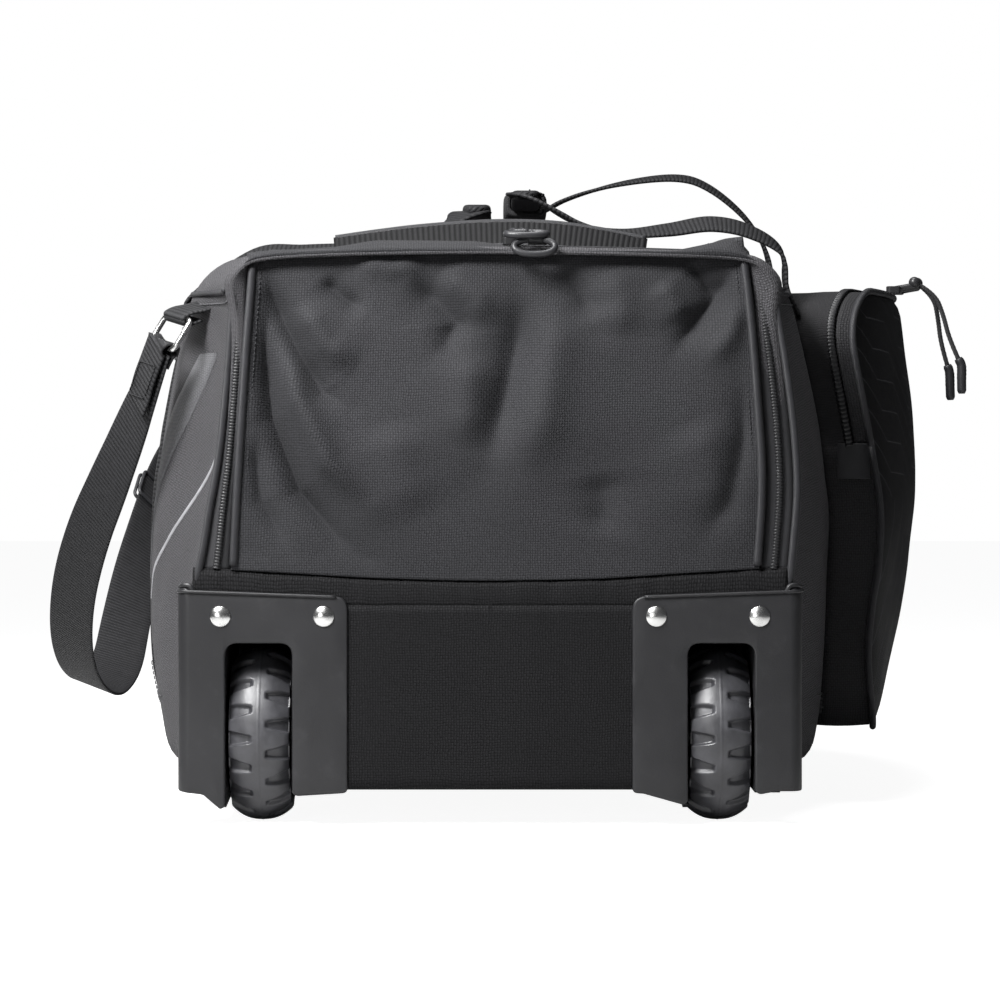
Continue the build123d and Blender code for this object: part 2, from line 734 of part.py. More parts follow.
def flat_ring(x, y, z, drop_angle):
    """An oval moulded ring, its near edge at the given point, turned down about x."""
    outer = SlotOverall(RING_LENGTH, RING_HEIGHT)
    inner = SlotOverall(RING_LENGTH - 2 * RING_TUBE, RING_HEIGHT - 2 * RING_TUBE)
    ring = extrude(outer - inner, RING_TUBE)
    ring = Pos(0, -RING_HEIGHT / 2, -RING_TUBE / 2) * ring
    return Pos(x, y, z) * Rot(drop_angle, 0, 0) * ring


def ring_pull(slider_x, ring_shift, reach, drop, drop_angle):
    """A pull: a pin through the slider's bridge, two arms and a moulded ring."""
    y = flap_slider_y()
    z = pin_z(flap_slider_z())
    gap = BRIDGE_WIDTH / 2 + ARM_CLEAR
    half = gap + ARM_WIDTH
    pull = rod((slider_x - half, y, z), (slider_x + half, y, z), PIN_RADIUS)
    end_y = y - reach
    end_z = z - drop
    for way in (-1, 1):
        low = slider_x + way * gap
        high = slider_x + way * half
        arm = prism_yz([
            (y + 1.2, z - 1.2), (y + 1.2, z + 1.2), (end_y, end_z + 1.2), (end_y, end_z - 1.2),
        ], min(low, high), max(low, high))
        pull += arm
    cross = rod((slider_x - half, end_y, end_z), (slider_x + half, end_y, end_z), 1.7)
    return pull + cross + flat_ring(slider_x + ring_shift, end_y + 0.8, end_z, drop_angle)


# ------------------------------------------------------------------ handles

def grip_bar(centre, y0, y1):
    x, z = centre
    bar = block(x - GRIP_WIDTH / 2, x + GRIP_WIDTH / 2, y0, y1, z - GRIP_HEIGHT / 2, z + GRIP_HEIGHT / 2)
    return fillet(bar.edges().filter_by(Axis.Y), 3)


def carry_handle(side, legs, legs_y, grip):
    handle = grip_bar(grip, legs_y[0] - WEB / 2, legs_y[1] + WEB / 2)
    for leg, y in zip(legs, legs_y):
        start = side * HANDLE_X
        points = [(start + share * (grip[0] - start), HANDLE_Z + rise) for share, rise in leg]
        handle += strip_xz(points, WEB_THICK, y - WEB / 2, y + WEB / 2)
    return handle


def handle_sleeve():
    """Padded sleeve round the right handle's grip."""
    x, z = RIGHT_GRIP
    middle = (RIGHT_LEGS_Y[0] + RIGHT_LEGS_Y[1]) / 2
    half_x = GRIP_WIDTH / 2 + SLEEVE_CLEAR
    half_z = GRIP_HEIGHT / 2 + SLEEVE_CLEAR
    start = middle - SLEEVE_LENGTH / 2
    end = middle + SLEEVE_LENGTH / 2
    outer = block(x - half_x - SLEEVE_WALL, x + half_x + SLEEVE_WALL, start, end,
                  z - half_z - SLEEVE_WALL, z + half_z + SLEEVE_WALL)
    outer = fillet(outer.edges().filter_by(Axis.Y), 7)
    return outer - block(x - half_x, x + half_x, start - 1, end + 1, z - half_z, z + half_z)


def sewn_webbing(side, legs_y):
    """The handle webbing where it is sewn up the side of the bag."""
    strips = []
    for y in legs_y:
        region = block(side * 100, side * 2 * END_HALF_WIDTH, y - WEB / 2, y + WEB / 2, SEWN_BOTTOM, SEWN_TOP)
        strips.append(skin(SEWN_THICK, region))
    return strips


def grab_handle():
    """A short webbing handle that arches across the top of the wheel end."""
    steps = 6
    centres = []
    for i in range(steps + 1):
        x = -GRAB_HALF_LENGTH + 2 * GRAB_HALF_LENGTH * i / steps
        arch = GRAB_ARCH * (1 - (x / GRAB_HALF_LENGTH) ** 2)
        centres.append(Vector(x, GRAB_Y, END_TOP + GRAB_LIFT + arch))
    tilt = radians(GRAB_TILT)
    hints = [Vector(0, cos(tilt), sin(tilt))] * len(centres)
    return ribbon(centres, hints, GRAB_WIDTH, WEB_THICK)


def tow_handle():
    """Webbing legs and a core bar at the far end."""
    y = BODY_LENGTH + TOW_START
    grip_y = BODY_LENGTH + TOW_STAND_OFF
    grip_z = TOW_Z - TOW_DROP
    handle = rod((-TOW_HALF - 8, grip_y, grip_z), (TOW_HALF + 8, grip_y, grip_z), TOW_CORE)
    for side in (-1, 1):
        low = side * TOW_HALF - (0 if side > 0 else TOW_LEG_WIDTH)
        outline = offset_line([(y, TOW_Z), (grip_y, grip_z)], WEB_THICK / 2)
        outline += offset_line([(y, TOW_Z), (grip_y, grip_z)], -WEB_THICK / 2)[::-1]
        handle += prism_yz(outline, low, low + TOW_LEG_WIDTH)
    return handle


def tow_grip():
    grip_y = BODY_LENGTH + TOW_STAND_OFF
    grip_z = TOW_Z - TOW_DROP
    half = TOW_HALF - 1
    grip = rod((-half, grip_y, grip_z), (half, grip_y, grip_z), TOW_GRIP)
    return grip - rod((-half - 1, grip_y, grip_z), (half + 1, grip_y, grip_z), TOW_CORE + 0.05)


def tow_tabs():
    low = TOW_Z + 2
    tabs = []
    for side in (-1, 1):
        start = side * TOW_HALF
        tabs.append(block(start, start + side * TOW_LEG_WIDTH, BODY_LENGTH, BODY_LENGTH + SEWN_THICK, low, low + 26))
    return tabs


# ------------------------------------------------------------------ shoulder strap

def ring_frame(near):
    """Place of a strap ring: its upper bar, the bar's direction and the way down it."""
    flip = 1 if near else -1
    y = RING_NEAR_Y if near else RING_FAR_Y
    at = Vector(-shoulder_at(y) - RING_STAND_OFF, y, END_TOP - RING_BELOW_TOP)
    down = Vector(RING_LEAN[0], flip * RING_LEAN[1], RING_LEAN[2]).normalized()
    bar = Vector(RING_BAR[0], flip * RING_BAR[1], RING_BAR[2])
    bar = (bar - down * bar.dot(down)).normalized()
    return at, bar, down


def strap_ring(near):
    at, bar, down = ring_frame(near)
    half = RING_INSIDE / 2 + RING_WIRE / 2
    low = at + down * RING_DROP
    corners = [at - bar * half, at + bar * half, low + bar * half, low - bar * half]
    ring = None
    for i, corner in enumerate(corners):
        side = rod(corner, corners[(i + 1) % 4], RING_WIRE / 2)
        ball = Pos(corner) * Sphere(RING_WIRE / 2)
        ring = side + ball if ring is None else ring + side + ball
    return ring


def eye(at, bar, width):
    """The fold of webbing round a ring's bar: its outside and its bore."""
    start = at - bar * (width / 2)
    end = at + bar * (width / 2)
    bore = RING_WIRE / 2 + EYE_CLEAR
    outside = rod(start, end, bore + EYE_WALL)
    inside = rod(start - bar * 3, end + bar * 3, bore)
    return outside, inside


def strap_tab(near):
    """Webbing tab from the bag's shoulder to a ring's upper bar."""
    at, bar, down = ring_frame(near)
    outside, inside = eye(at, bar, WEB)
    flip = 1 if near else -1
    inward = Vector(0.86, -0.10 * flip, 0.20)
    inward = (inward - bar * inward.dot(bar)).normalized()
    back = Vector(0, 0.30 * flip, -0.95)
    back = (back - bar * back.dot(bar)).normalized()
    centres = [at, at + back * -6 + inward * 2, at + back * -6 + inward * TAB_LENGTH]
    tab = ribbon(centres[:1] + centres[2:], [bar, bar], WEB, WEB_THICK) + outside
    return tab - inside - body_solid(0.0)


def strap_stations():
    """The strap's middle line from bar to bar, with a hint of its width's direction."""
    near_at, near_bar, near_down = ring_frame(True)
    far_at, far_bar, far_down = ring_frame(False)
    start = near_at + near_down * RING_DROP
    end = far_at + far_down * RING_DROP
    stretch = (RING_FAR_Y - RING_NEAR_Y) / STRAP_SPAN
    route = [
        Vector(-END_HALF_WIDTH - out, RING_NEAR_Y + along * stretch, END_TOP - down)
        for out, along, down in STRAP_ROUTE
    ]
    centres = [start] + route + [end]
    last = len(centres) - 1
    hints = [near_bar * (1 - i / last) + far_bar * (i / last) for i in range(last + 1)]
    return centres, hints


def shoulder_strap():
    """The webbing strap that hangs in a loop between the two rings."""
    centres, hints = strap_stations()
    strap = ribbon(centres, hints, WEB, WEB_THICK)
    for i in (0, -1):
        outside, inside = eye(centres[i], hints[i], WEB)
        strap = strap + outside - inside
    return strap


def strap_slide():
    """Three-bar slide that sets the strap's length, on the strap's rising leg."""
    centres, hints = strap_stations()
    a = centres[SLIDE_RUN]
    b = centres[SLIDE_RUN + 1]
    along = (b - a).normalized()
    hint = (hints[SLIDE_RUN] + hints[SLIDE_RUN + 1]).normalized()
    across = (hint - along * hint.dot(along)).normalized()
    plane = Plane(origin=(a + b) / 2, x_dir=across, z_dir=across.cross(along))
    slot = WEB_THICK + SLIDE_CLEAR
    inside = WEB + SLIDE_CLEAR
    frame = Box(inside + 2 * SLIDE_BAR, 30, slot + 2 * SLIDE_BAR) - Box(inside, 30 - 2 * SLIDE_BAR, 60)
    frame += Pos(0, 0, slot / 2 + SLIDE_BAR / 2) * Box(inside + SLIDE_BAR, 5, SLIDE_BAR)
    frame -= Box(inside, 60, slot)
    return plane.location * frame


# ------------------------------------------------------------------ side pocket

def pocket_plan(edge_shift):
    """The pocket seen from above, with its outer face moved by edge_shift, as a prism."""
    middle = (POCKET_START + POCKET_END) / 2
    corner_low = (POCKET_EDGE_X + edge_shift, POCKET_START - 5, 0)
    corner_high = (POCKET_EDGE_X + edge_shift, POCKET_END + 5, 0)
    arc = ThreePointArc(corner_low, (POCKET_BULGE_X + edge_shift, middle, 0), corner_high)
    back = END_HALF_WIDTH - 48
    rest = Polyline(corner_high, (back, POCKET_END + 5, 0), (back, POCKET_START - 5, 0), corner_low)
    face = Face(Wire([arc.edge()] + list(rest.edges())))
    return Solid.extrude(face, Vector(0, 0, 2 * POCKET_TOP))


def pocket_side(grow):
    """The pocket seen from the side, with rounded corners, grown outwards, as a prism."""
    near, far = POCKET_START - grow, POCKET_END + grow
    low, high = POCKET_BOTTOM - grow, POCKET_TOP + grow
    box = block(END_HALF_WIDTH - 48, POCKET_BULGE_X + 30, near, far, low, high)
    return fillet(box.edges().filter_by(Axis.X), POCKET_CORNER + grow)


def pocket_parts():
    """The pocket's fixed tub, its opening cap and the tape of its zip."""
    outside = body_solid(-POCKET_SKIN_GAP)
    outer = pocket_plan(0) & pocket_side(0)
    inner = pocket_plan(-FABRIC) & pocket_side(-FABRIC)
    shell = outer - inner - outside
    reach = POCKET_BULGE_X + 40
    above = block(0, reach, 0, BODY_LENGTH, POCKET_HINGE_Z, 2 * POCKET_TOP)
    above_gap = block(0, reach, 0, BODY_LENGTH, POCKET_HINGE_Z - CAP_GAP, 2 * POCKET_TOP)
    cap = (shell - pocket_plan(-CAP_DEPTH)) & above
    tub = shell - (above_gap - pocket_plan(-CAP_DEPTH - CAP_GAP))
    layer = pocket_side(POCKET_TAPE) - pocket_side(0)
    strip = pocket_plan(-CAP_DEPTH - CAP_GAP) - pocket_plan(-CAP_DEPTH - CAP_GAP - POCKET_TAPE_WIDTH)
    tape = layer & strip & above - outside
    return tub, cap, tape


def pocket_face_x(y):
    """The pocket's outer face at y."""
    middle = (POCKET_START + POCKET_END) / 2
    half = (POCKET_END - POCKET_START) / 2
    return POCKET_BULGE_X - (POCKET_BULGE_X - POCKET_EDGE_X) * ((y - middle) / half) ** 2


def pocket_slider(index):
    """A slider on the pocket's top edge with a round knob that a cord is tied to."""
    y = POCKET_SLIDERS_Y[index]
    x = pocket_face_x(y) - CAP_DEPTH / 2
    z = POCKET_TOP + SLIDER_CLEAR + POCKET_TAPE
    body = Pos(x, y, z + SLIDER_HEIGHT / 2) * Box(SLIDER_WIDTH, SLIDER_LENGTH, SLIDER_HEIGHT)
    body = fillet(body.edges().filter_by(Axis.Z), 2)
    start = pocket_point(CORD_ROUTES[index][0])
    toward = (pocket_point(CORD_ROUTES[index][1]) - start).normalized()
    knob = rod((x, y, z + SLIDER_HEIGHT / 2), tuple(start - toward * 0.05), KNOB_RADIUS * 0.6)
    ball = Pos(start - toward * KNOB_RADIUS) * Sphere(KNOB_RADIUS)
    cut = Pos(start) * Plane(origin=(0, 0, 0), z_dir=toward).location * Pos(0, 0, 5) * Box(20, 20, 10)
    return body + knob + ball - cut


def pocket_point(offsets):
    """A point given from the pocket's bulge, start and top."""
    return Vector(POCKET_BULGE_X, POCKET_START, POCKET_TOP) + Vector(*offsets)


def cord_radii(points):
    """Bend radii for a free cord: 0.45 of the shorter run over the tangent of half the turn."""
    radii = []
    for before, at, after in zip(points, points[1:], points[2:]):
        into = at - before
        out = after - at
        turn = into.get_angle(out)
        radii.append(0.45 * min(into.length, out.length) / (sin(radians(turn / 2)) / cos(radians(turn / 2))))
    return radii


def pull_cord(index):
    points = [pocket_point(offsets) for offsets in CORD_ROUTES[index]]
    radii = cord_radii(points)
    print("pull cord", index, "bend radii", [round(radius, 1) for radius in radii])
    path = FilletPolyline(*points, radius=radii)
    start = Plane(origin=points[0], z_dir=points[1] - points[0])
    return sweep(start * Circle(CORD_RADIUS), path=path)


def pull_sleeve(index):
    """Moulded sleeve on the cord's loose end."""
    start = pocket_point(CORD_ROUTES[index][-1])
    before = pocket_point(CORD_ROUTES[index][-2])
    end = pocket_point(SLEEVE_ENDS[index])
    along = (start - before).normalized()
    elbow = start + along * 4
    sleeve = rod(start, elbow, SLEEVE_RADIUS)
    sleeve += Pos(elbow) * Sphere(SLEEVE_RADIUS)
    return sleeve + rod(elbow, end, SLEEVE_RADIUS)


# ------------------------------------------------------------------ top zip

def main_zip():
    region = block(-MAIN_ZIP_HALF, MAIN_ZIP_HALF, MAIN_ZIP_START, MAIN_ZIP_END, END_TOP - 40, END_TOP + 60)
    return skin(ZIP_TAPE, region)


def main_slider_z():
    highest = END_TOP + CROWN + TOP_RISE
    return highest + ZIP_TAPE + SLIDER_CLEAR


def main_slider():
    return zip_slider(0, MAIN_SLIDER_Y, main_slider_z(), along_x=False)


def main_pull():
    """A flat tab that lies along the top zip, on a pin through the slider's bridge."""
    z = pin_z(main_slider_z())
    y = MAIN_SLIDER_Y
    gap = BRIDGE_WIDTH / 2 + ARM_CLEAR
    half = gap + ARM_WIDTH
    pull = rod((-half, y, z), (half, y, z), PIN_RADIUS)
    for way in (-1, 1):
        low = min(way * gap, way * half)
        pull += block(low, low + ARM_WIDTH, y - 1.2, y + 9, z - 1.1, z + 1.1)
    tab = block(-half, half, y + 7, y + 7 + MAIN_PULL_LENGTH, z - 1.1, z + 1.1)
    return pull + tab


# ------------------------------------------------------------------ assembly

CORD_NODES = ["shoulder_strap", "strap_slide", "pull_cord_a", "pull_sleeve_a", "pull_cord_b", "pull_sleeve_b"]


def all_nodes():
    shell = body_shell()
    wrap = base_wrap()
    board = end_board()
    for side in (-1, 1):
        shell -= boss_space(side)
        wrap -= boss_space(side)
        board -= boss_space(side)
    tub, cap, tape = pocket_parts()
    trim = block(-400, 0, 0, BODY_LENGTH, 0, 500)
    return {
        "body_shell": shell,
        "base_wrap": wrap,
        "end_board": board,
        "base_board": base_board(),
        "backing_plates": backing_plates(),
        "housing_rivets": housing_rivets(),
        "wheel_housing_left": wheel_housing(-1),
        "wheel_housing_right": wheel_housing(1),
        "axle_left": axle(-1),
        "axle_right": axle(1),
        "tyre_left": tyre(-1),
        "tyre_right": tyre(1),
        "hub_left": hub(-1),
        "hub_right": hub(1),
        "bush_left": bush(-1),
        "bush_right": bush(1),
        "skid_rails": skid_rails(),
        "rail_screws": rail_screws(),
        "far_feet": far_feet(),
        "end_flap": end_flap(),
        "flap_piping": flap_piping(),
        "flap_tape": flap_tape(),
        "end_zip": end_zip(),
        "end_piping": end_piping(),
        "zip_slider_upper": zip_slider(UPPER_SLIDER_X, flap_slider_y(), flap_slider_z()),
        "zip_slider_lower": zip_slider(LOWER_SLIDER_X, flap_slider_y(), flap_slider_z()),
        "zip_pull_upper": ring_pull(UPPER_SLIDER_X, 9, 8, -4, 5),
        "zip_pull_lower": ring_pull(LOWER_SLIDER_X, -2, 17, 2, 62),
        "carry_handle_left": carry_handle(-1, (LEFT_LEG, LEFT_LEG), LEFT_LEGS_Y, LEFT_GRIP),
        "carry_handle_right": carry_handle(1, (RIGHT_NEAR_LEG, RIGHT_FAR_LEG), RIGHT_LEGS_Y, RIGHT_GRIP),
        "handle_sleeve": handle_sleeve(),
        "handle_webbing_left": sewn_webbing(-1, LEFT_LEGS_Y),
        "handle_webbing_right": sewn_webbing(1, RIGHT_LEGS_Y),
        "grab_handle": grab_handle(),
        "strap_ring_near": strap_ring(True),
        "strap_ring_far": strap_ring(False),
        "strap_tab_near": strap_tab(True),
        "strap_tab_far": strap_tab(False),
        "shoulder_strap": shoulder_strap(),
        "strap_slide": strap_slide(),
        "pocket_tub": tub,
        "pocket_cap": cap,
        "pocket_zip": tape,
        "pocket_slider_a": pocket_slider(0),
        "pocket_slider_b": pocket_slider(1),
        "pull_cord_a": pull_cord(0),
        "pull_cord_b": pull_cord(1),
        "pull_sleeve_a": pull_sleeve(0),
        "pull_sleeve_b": pull_sleeve(1),
        "main_zip": main_zip(),
        "main_slider": main_slider(),
        "main_pull": main_pull(),
        "side_band": skin(TRIM_THICK, prism_yz(BAND_OUTLINE, -400, 0) & trim),
        "side_line": skin(TRIM_THICK * 0.4, prism_yz(LINE_OUTLINE, -400, 0) & trim),
        "tow_handle": tow_handle(),
        "tow_grip": tow_grip(),
        "tow_tabs": tow_tabs(),
    }


def as_solids(shape):
    """The separate solids of a node."""
    if isinstance(shape, list):
        return [solid for item in shape for solid in as_solids(item)]
    return list(shape.solids())


# The origin is the middle of the bag's footprint, measured without the free cords.
node_solids = {name: as_solids(shape) for name, shape in all_nodes().items()}
boxes = [solid.bounding_box() for name, solids in node_solids.items() if name not in CORD_NODES for solid in solids]
low_x = min(box.min.X for box in boxes)
high_x = max(box.max.X for box in boxes)
low_y = min(box.min.Y for box in boxes)
high_y = max(box.max.Y for box in boxes)
SHIFT = Vector(-(low_x + high_x) / 2, -(low_y + high_y) / 2, 0)

os.makedirs("parts", exist_ok=True)
for name, solids in node_solids.items():
    placed = [solid.moved(Location(SHIFT)) for solid in solids]
    export_step(placed[0] if len(placed) == 1 else Compound(placed), f"parts/{name}.step")
print("shift", SHIFT)
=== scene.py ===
from math import atan2, cos, floor, pi, radians, sin, sqrt

import bmesh
import bpy
from mathutils import Matrix, Vector, noise


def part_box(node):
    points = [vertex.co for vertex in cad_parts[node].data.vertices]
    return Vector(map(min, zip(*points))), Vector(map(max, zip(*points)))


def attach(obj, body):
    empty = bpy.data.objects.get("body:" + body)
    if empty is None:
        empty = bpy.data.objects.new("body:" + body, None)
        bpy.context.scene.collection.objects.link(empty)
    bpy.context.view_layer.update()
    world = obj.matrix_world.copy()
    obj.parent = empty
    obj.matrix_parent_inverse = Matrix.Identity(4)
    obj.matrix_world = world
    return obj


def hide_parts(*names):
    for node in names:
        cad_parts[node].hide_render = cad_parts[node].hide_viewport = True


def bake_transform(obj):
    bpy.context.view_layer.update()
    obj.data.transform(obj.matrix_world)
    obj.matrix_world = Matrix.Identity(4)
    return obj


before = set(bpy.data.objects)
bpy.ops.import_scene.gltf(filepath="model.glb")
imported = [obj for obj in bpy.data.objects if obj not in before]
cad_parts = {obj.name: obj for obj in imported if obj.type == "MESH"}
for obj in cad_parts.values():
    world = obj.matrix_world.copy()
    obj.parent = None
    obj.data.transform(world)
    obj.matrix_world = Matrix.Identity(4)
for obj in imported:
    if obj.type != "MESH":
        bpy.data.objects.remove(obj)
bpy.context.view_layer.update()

# A wheeled hockey equipment bag. Shapes are worked out in the bag's own millimetres: x = 0 is the
# middle plane, y = 0 the fabric of the wheel end and z = 0 the ground. place() puts them in the row frame.
MM = 0.001
WRAP_LOW, WRAP_HIGH = (Vector(corner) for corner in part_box("base_wrap"))
ORIGIN = Vector(((WRAP_LOW.x + WRAP_HIGH.x) / 2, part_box("end_flap")[0][1], 0))

BODY_LENGTH = 835.0
END_TOP = 361.0
TOP_RISE = 13.0
CROWN = 4.0
FLOOR_GAP = 26.0
END_HALF_WIDTH = 188.0
SWELL = 50.0
BASE_SWELL = 40.0
TOP_HALF_WIDTH = END_HALF_WIDTH - 31
BASE_CORNER = 20.0
STATIONS = [
    (0.00, 0.00, 0.00),
    (0.055, 0.05, 0.10),
    (0.17, 0.74, 0.50),
    (0.41, 1.00, 1.00),
    (0.72, 0.96, 0.90),
    (0.945, 0.30, 0.20),
    (1.00, -0.15, -0.60),
]
WHEEL_RADIUS = 55.0
HALF_TRACK = 145.5
WHEEL_Y = 45.0
HOUSING_INNER = 89.5
HOUSING_OUTER = 196.6
RIVET_X = (104.5, 169.5)
RIVET_Z = 132.0
WEB = 38.0


def place(point):
    """A point in bag millimetres, in the row frame."""
    return ORIGIN + Vector(point) * MM


def spread(table, at):
    """Smooth interpolation in a table of (place, value)."""
    if at <= table[0][0]:
        return table[0][1]
    if at >= table[-1][0]:
        return table[-1][1]
    slopes = [(b[1] - a[1]) / (b[0] - a[0]) for a, b in zip(table, table[1:])]
    for i, (a, b) in enumerate(zip(table, table[1:])):
        if at > b[0]:
            continue
        before = slopes[i - 1] if i > 0 else slopes[i]
        after = slopes[i + 1] if i + 1 < len(slopes) else slopes[i]
        start = 0.0 if before * slopes[i] <= 0 else 2 * before * slopes[i] / (before + slopes[i])
        end = 0.0 if after * slopes[i] <= 0 else 2 * after * slopes[i] / (after + slopes[i])
        width = b[0] - a[0]
        t = (at - a[0]) / width
        return (
            (2 * t**3 - 3 * t**2 + 1) * a[1] + (t**3 - 2 * t**2 + t) * width * start
            + (3 * t**2 - 2 * t**3) * b[1] + (t**3 - t**2) * width * end
        )
    return table[-1][1]


def step(low, high, at):
    t = min(max((at - low) / (high - low), 0.0), 1.0)
    return t * t * (3 - 2 * t)


# ------------------------------------------------------------------ materials

class Shading:
    """A procedural material. Sockets and plain numbers are both taken as inputs."""

    def __init__(self, name, roughness, metallic=0.0, sheen=0.0, specular=0.5):
        self.material = bpy.data.materials.new(name)
        self.material.use_nodes = True
        self.tree = self.material.node_tree
        self.shader = self.tree.nodes["Principled BSDF"]
        self.shader.inputs["Roughness"].default_value = roughness
        self.shader.inputs["Metallic"].default_value = metallic
        self.shader.inputs["Sheen Weight"].default_value = sheen
        self.shader.inputs["Sheen Roughness"].default_value = 0.45
        self.shader.inputs["Specular IOR Level"].default_value = specular
        self.normal = None

    def node(self, kind, *inputs, **settings):
        made = self.tree.nodes.new(kind)
        for key, value in settings.items():
            setattr(made, key, value)
        for i, value in enumerate(inputs):
            self.put(made.inputs[i], value)
        return made

    def put(self, socket, value):
        if isinstance(value, bpy.types.NodeSocket):
            self.tree.links.new(value, socket)
        elif value is not None:
            socket.default_value = value

    def math(self, operation, *inputs):
        return self.node("ShaderNodeMath", *inputs, operation=operation).outputs[0]

    def cloth(self):
        """Place on the piece's cloth, in metres."""
        return self.node("ShaderNodeUVMap", uv_map="cloth").outputs[0]

    def space(self):
        """Place in the row frame, in metres."""
        return self.node("ShaderNodeTexCoord").outputs["Object"]

    def split(self, vector):
        return self.node("ShaderNodeSeparateXYZ", vector).outputs

    def noise(self, vector, scale, detail=3.0, rough=0.55):
        made = self.node("ShaderNodeTexNoise")
        self.put(made.inputs["Vector"], vector)
        self.put(made.inputs["Scale"], scale)
        self.put(made.inputs["Detail"], detail)
        self.put(made.inputs["Roughness"], rough)
        return made.outputs["Fac"]

    def mix(self, share, first, second):
        made = self.node("ShaderNodeMix", data_type="RGBA")
        self.put(made.inputs["Factor"], share)
        self.put(made.inputs["A"], (*first, 1) if isinstance(first, tuple) else first)
        self.put(made.inputs["B"], (*second, 1) if isinstance(second, tuple) else second)
        return made.outputs["Result"]

    def fit(self, value, low, high, to_low=0.0, to_high=1.0):
        return self.node("ShaderNodeMapRange", value, low, high, to_low, to_high).outputs[0]

    def bump(self, height, distance, strength=1.0):
        made = self.node("ShaderNodeBump")
        self.put(made.inputs["Height"], height)
        self.put(made.inputs["Distance"], distance)
        self.put(made.inputs["Strength"], strength)
        if self.normal:
            self.put(made.inputs["Normal"], self.normal)
        self.normal = made.outputs[0]
        self.put(self.shader.inputs["Normal"], self.normal)

    def colour(self, value):
        self.put(self.shader.inputs["Base Color"], value)

    def roughness(self, value):
        self.put(self.shader.inputs["Roughness"], value)


def shade(rgb, gain):
    return tuple(min(channel * gain, 1.0) for channel in rgb)


def weave(s, where, pitch):
    """Height of a plain weave over a place, threads pitch metres apart."""
    x, y = s.split(where)[:2]
    wander = s.noise(where, 85.0, 2.0)
    drift = s.noise(where, 31.0, 2.0)
    u = s.math("MULTIPLY_ADD", wander, 1.7, s.math("MULTIPLY", x, 1 / pitch))
    v = s.math("MULTIPLY_ADD", drift, 3.1, s.math("MULTIPLY", y, 1 / pitch))
    cell = s.math("ADD", s.math("FLOOR", u), s.math("FLOOR", v))
    over = s.math("MODULO", s.math("ABSOLUTE", cell), 2.0)
    hump_u = s.math("ABSOLUTE", s.math("SINE", s.math("MULTIPLY", u, pi)))
    hump_v = s.math("ABSOLUTE", s.math("SINE", s.math("MULTIPLY", v, pi)))
    first = s.math("MULTIPLY", hump_u, s.math("MULTIPLY_ADD", hump_v, 0.5, 0.5))
    second = s.math("MULTIPLY", hump_v, s.math("MULTIPLY_ADD", hump_u, 0.5, 0.5))
    under = s.math("SUBTRACT", 1.0, over)
    raised = s.math("MULTIPLY", first, over)
    sunk = s.math("MULTIPLY", second, s.math("MULTIPLY", under, 0.72))
    return s.math("ADD", raised, sunk)


def canvas(name, rgb, pitch=0.0017, rough=0.72, weave_shade=1.0, specular=0.22):
    s = Shading(name, rough, sheen=0.02, specular=specular)
    cloth = s.cloth()
    thread = weave(s, cloth, pitch)
    patches = s.noise(s.space(), 9.0, 3.0)
    slub = s.noise(cloth, 420.0, 2.0)
    # Painted shade and highlight: the weave's sunk gaps are painted darker and its raised threads lighter,
    # the colour following thread height.
    base = s.mix(s.fit(thread, 0.15, 0.95), shade(rgb, 1 - 0.85 * weave_shade), shade(rgb, 1 + 1.1 * weave_shade))
    worn = s.mix(s.fit(slub, 0.35, 0.72), base, shade(rgb, 1.25))
    s.colour(s.mix(s.math("MULTIPLY", s.fit(patches, 0.3, 0.7), 0.5), worn, shade(rgb, 0.72)))
    s.roughness(s.fit(thread, 0.0, 1.0, rough + 0.12, rough - 0.12))
    s.bump(thread, 0.00032, 0.9)
    s.bump(s.noise(cloth, 60.0, 3.0), 0.0006, 0.35)
    return s.material


def ribbed(name, rgb, pitch=0.0031, edge=None):
    """Webbing: ribs across its width, fine warp threads, and stitch rows near its edges."""
    s = Shading(name, 0.66, sheen=0.0, specular=0.12)
    cloth = s.cloth()
    x, y = s.split(cloth)[:2]
    rib = s.math("ABSOLUTE", s.math("SINE", s.math("MULTIPLY", y, pi / pitch)))
    warp = s.math("ABSOLUTE", s.math("SINE", s.math("MULTIPLY", x, pi / 0.0011)))
    thread = s.math("MULTIPLY", rib, s.math("MULTIPLY_ADD", warp, 0.35, 0.65))
    wear = s.noise(cloth, 130.0, 3.0)
    # Painted shade in the grooves between ribs and painted highlight on the ribs: the colour follows rib
    # height.
    base = s.mix(s.fit(thread, 0.1, 0.9), shade(rgb, 0.42), shade(rgb, 1.35))
    colour = s.mix(s.math("MULTIPLY", s.fit(wear, 0.4, 0.7), 0.35), base, shade(rgb, 1.5))
    s.colour(colour)
    s.roughness(s.fit(thread, 0.0, 1.0, 0.75, 0.48))
    s.bump(thread, 0.0005, 0.9)
    if edge:
        side = s.math("ABSOLUTE", s.math("SUBTRACT", s.math("ABSOLUTE", x), edge))
        row = s.math("LESS_THAN", side, 0.0005)
        dash = s.math("LESS_THAN", s.math("FRACT", s.math("MULTIPLY", y, 1 / 0.0036)), 0.72)
        thread_row = s.math("MULTIPLY", row, dash)
        s.colour(s.mix(thread_row, colour, shade(rgb, 1.9)))
        s.bump(thread_row, 0.0004, 0.8)
    return s.material


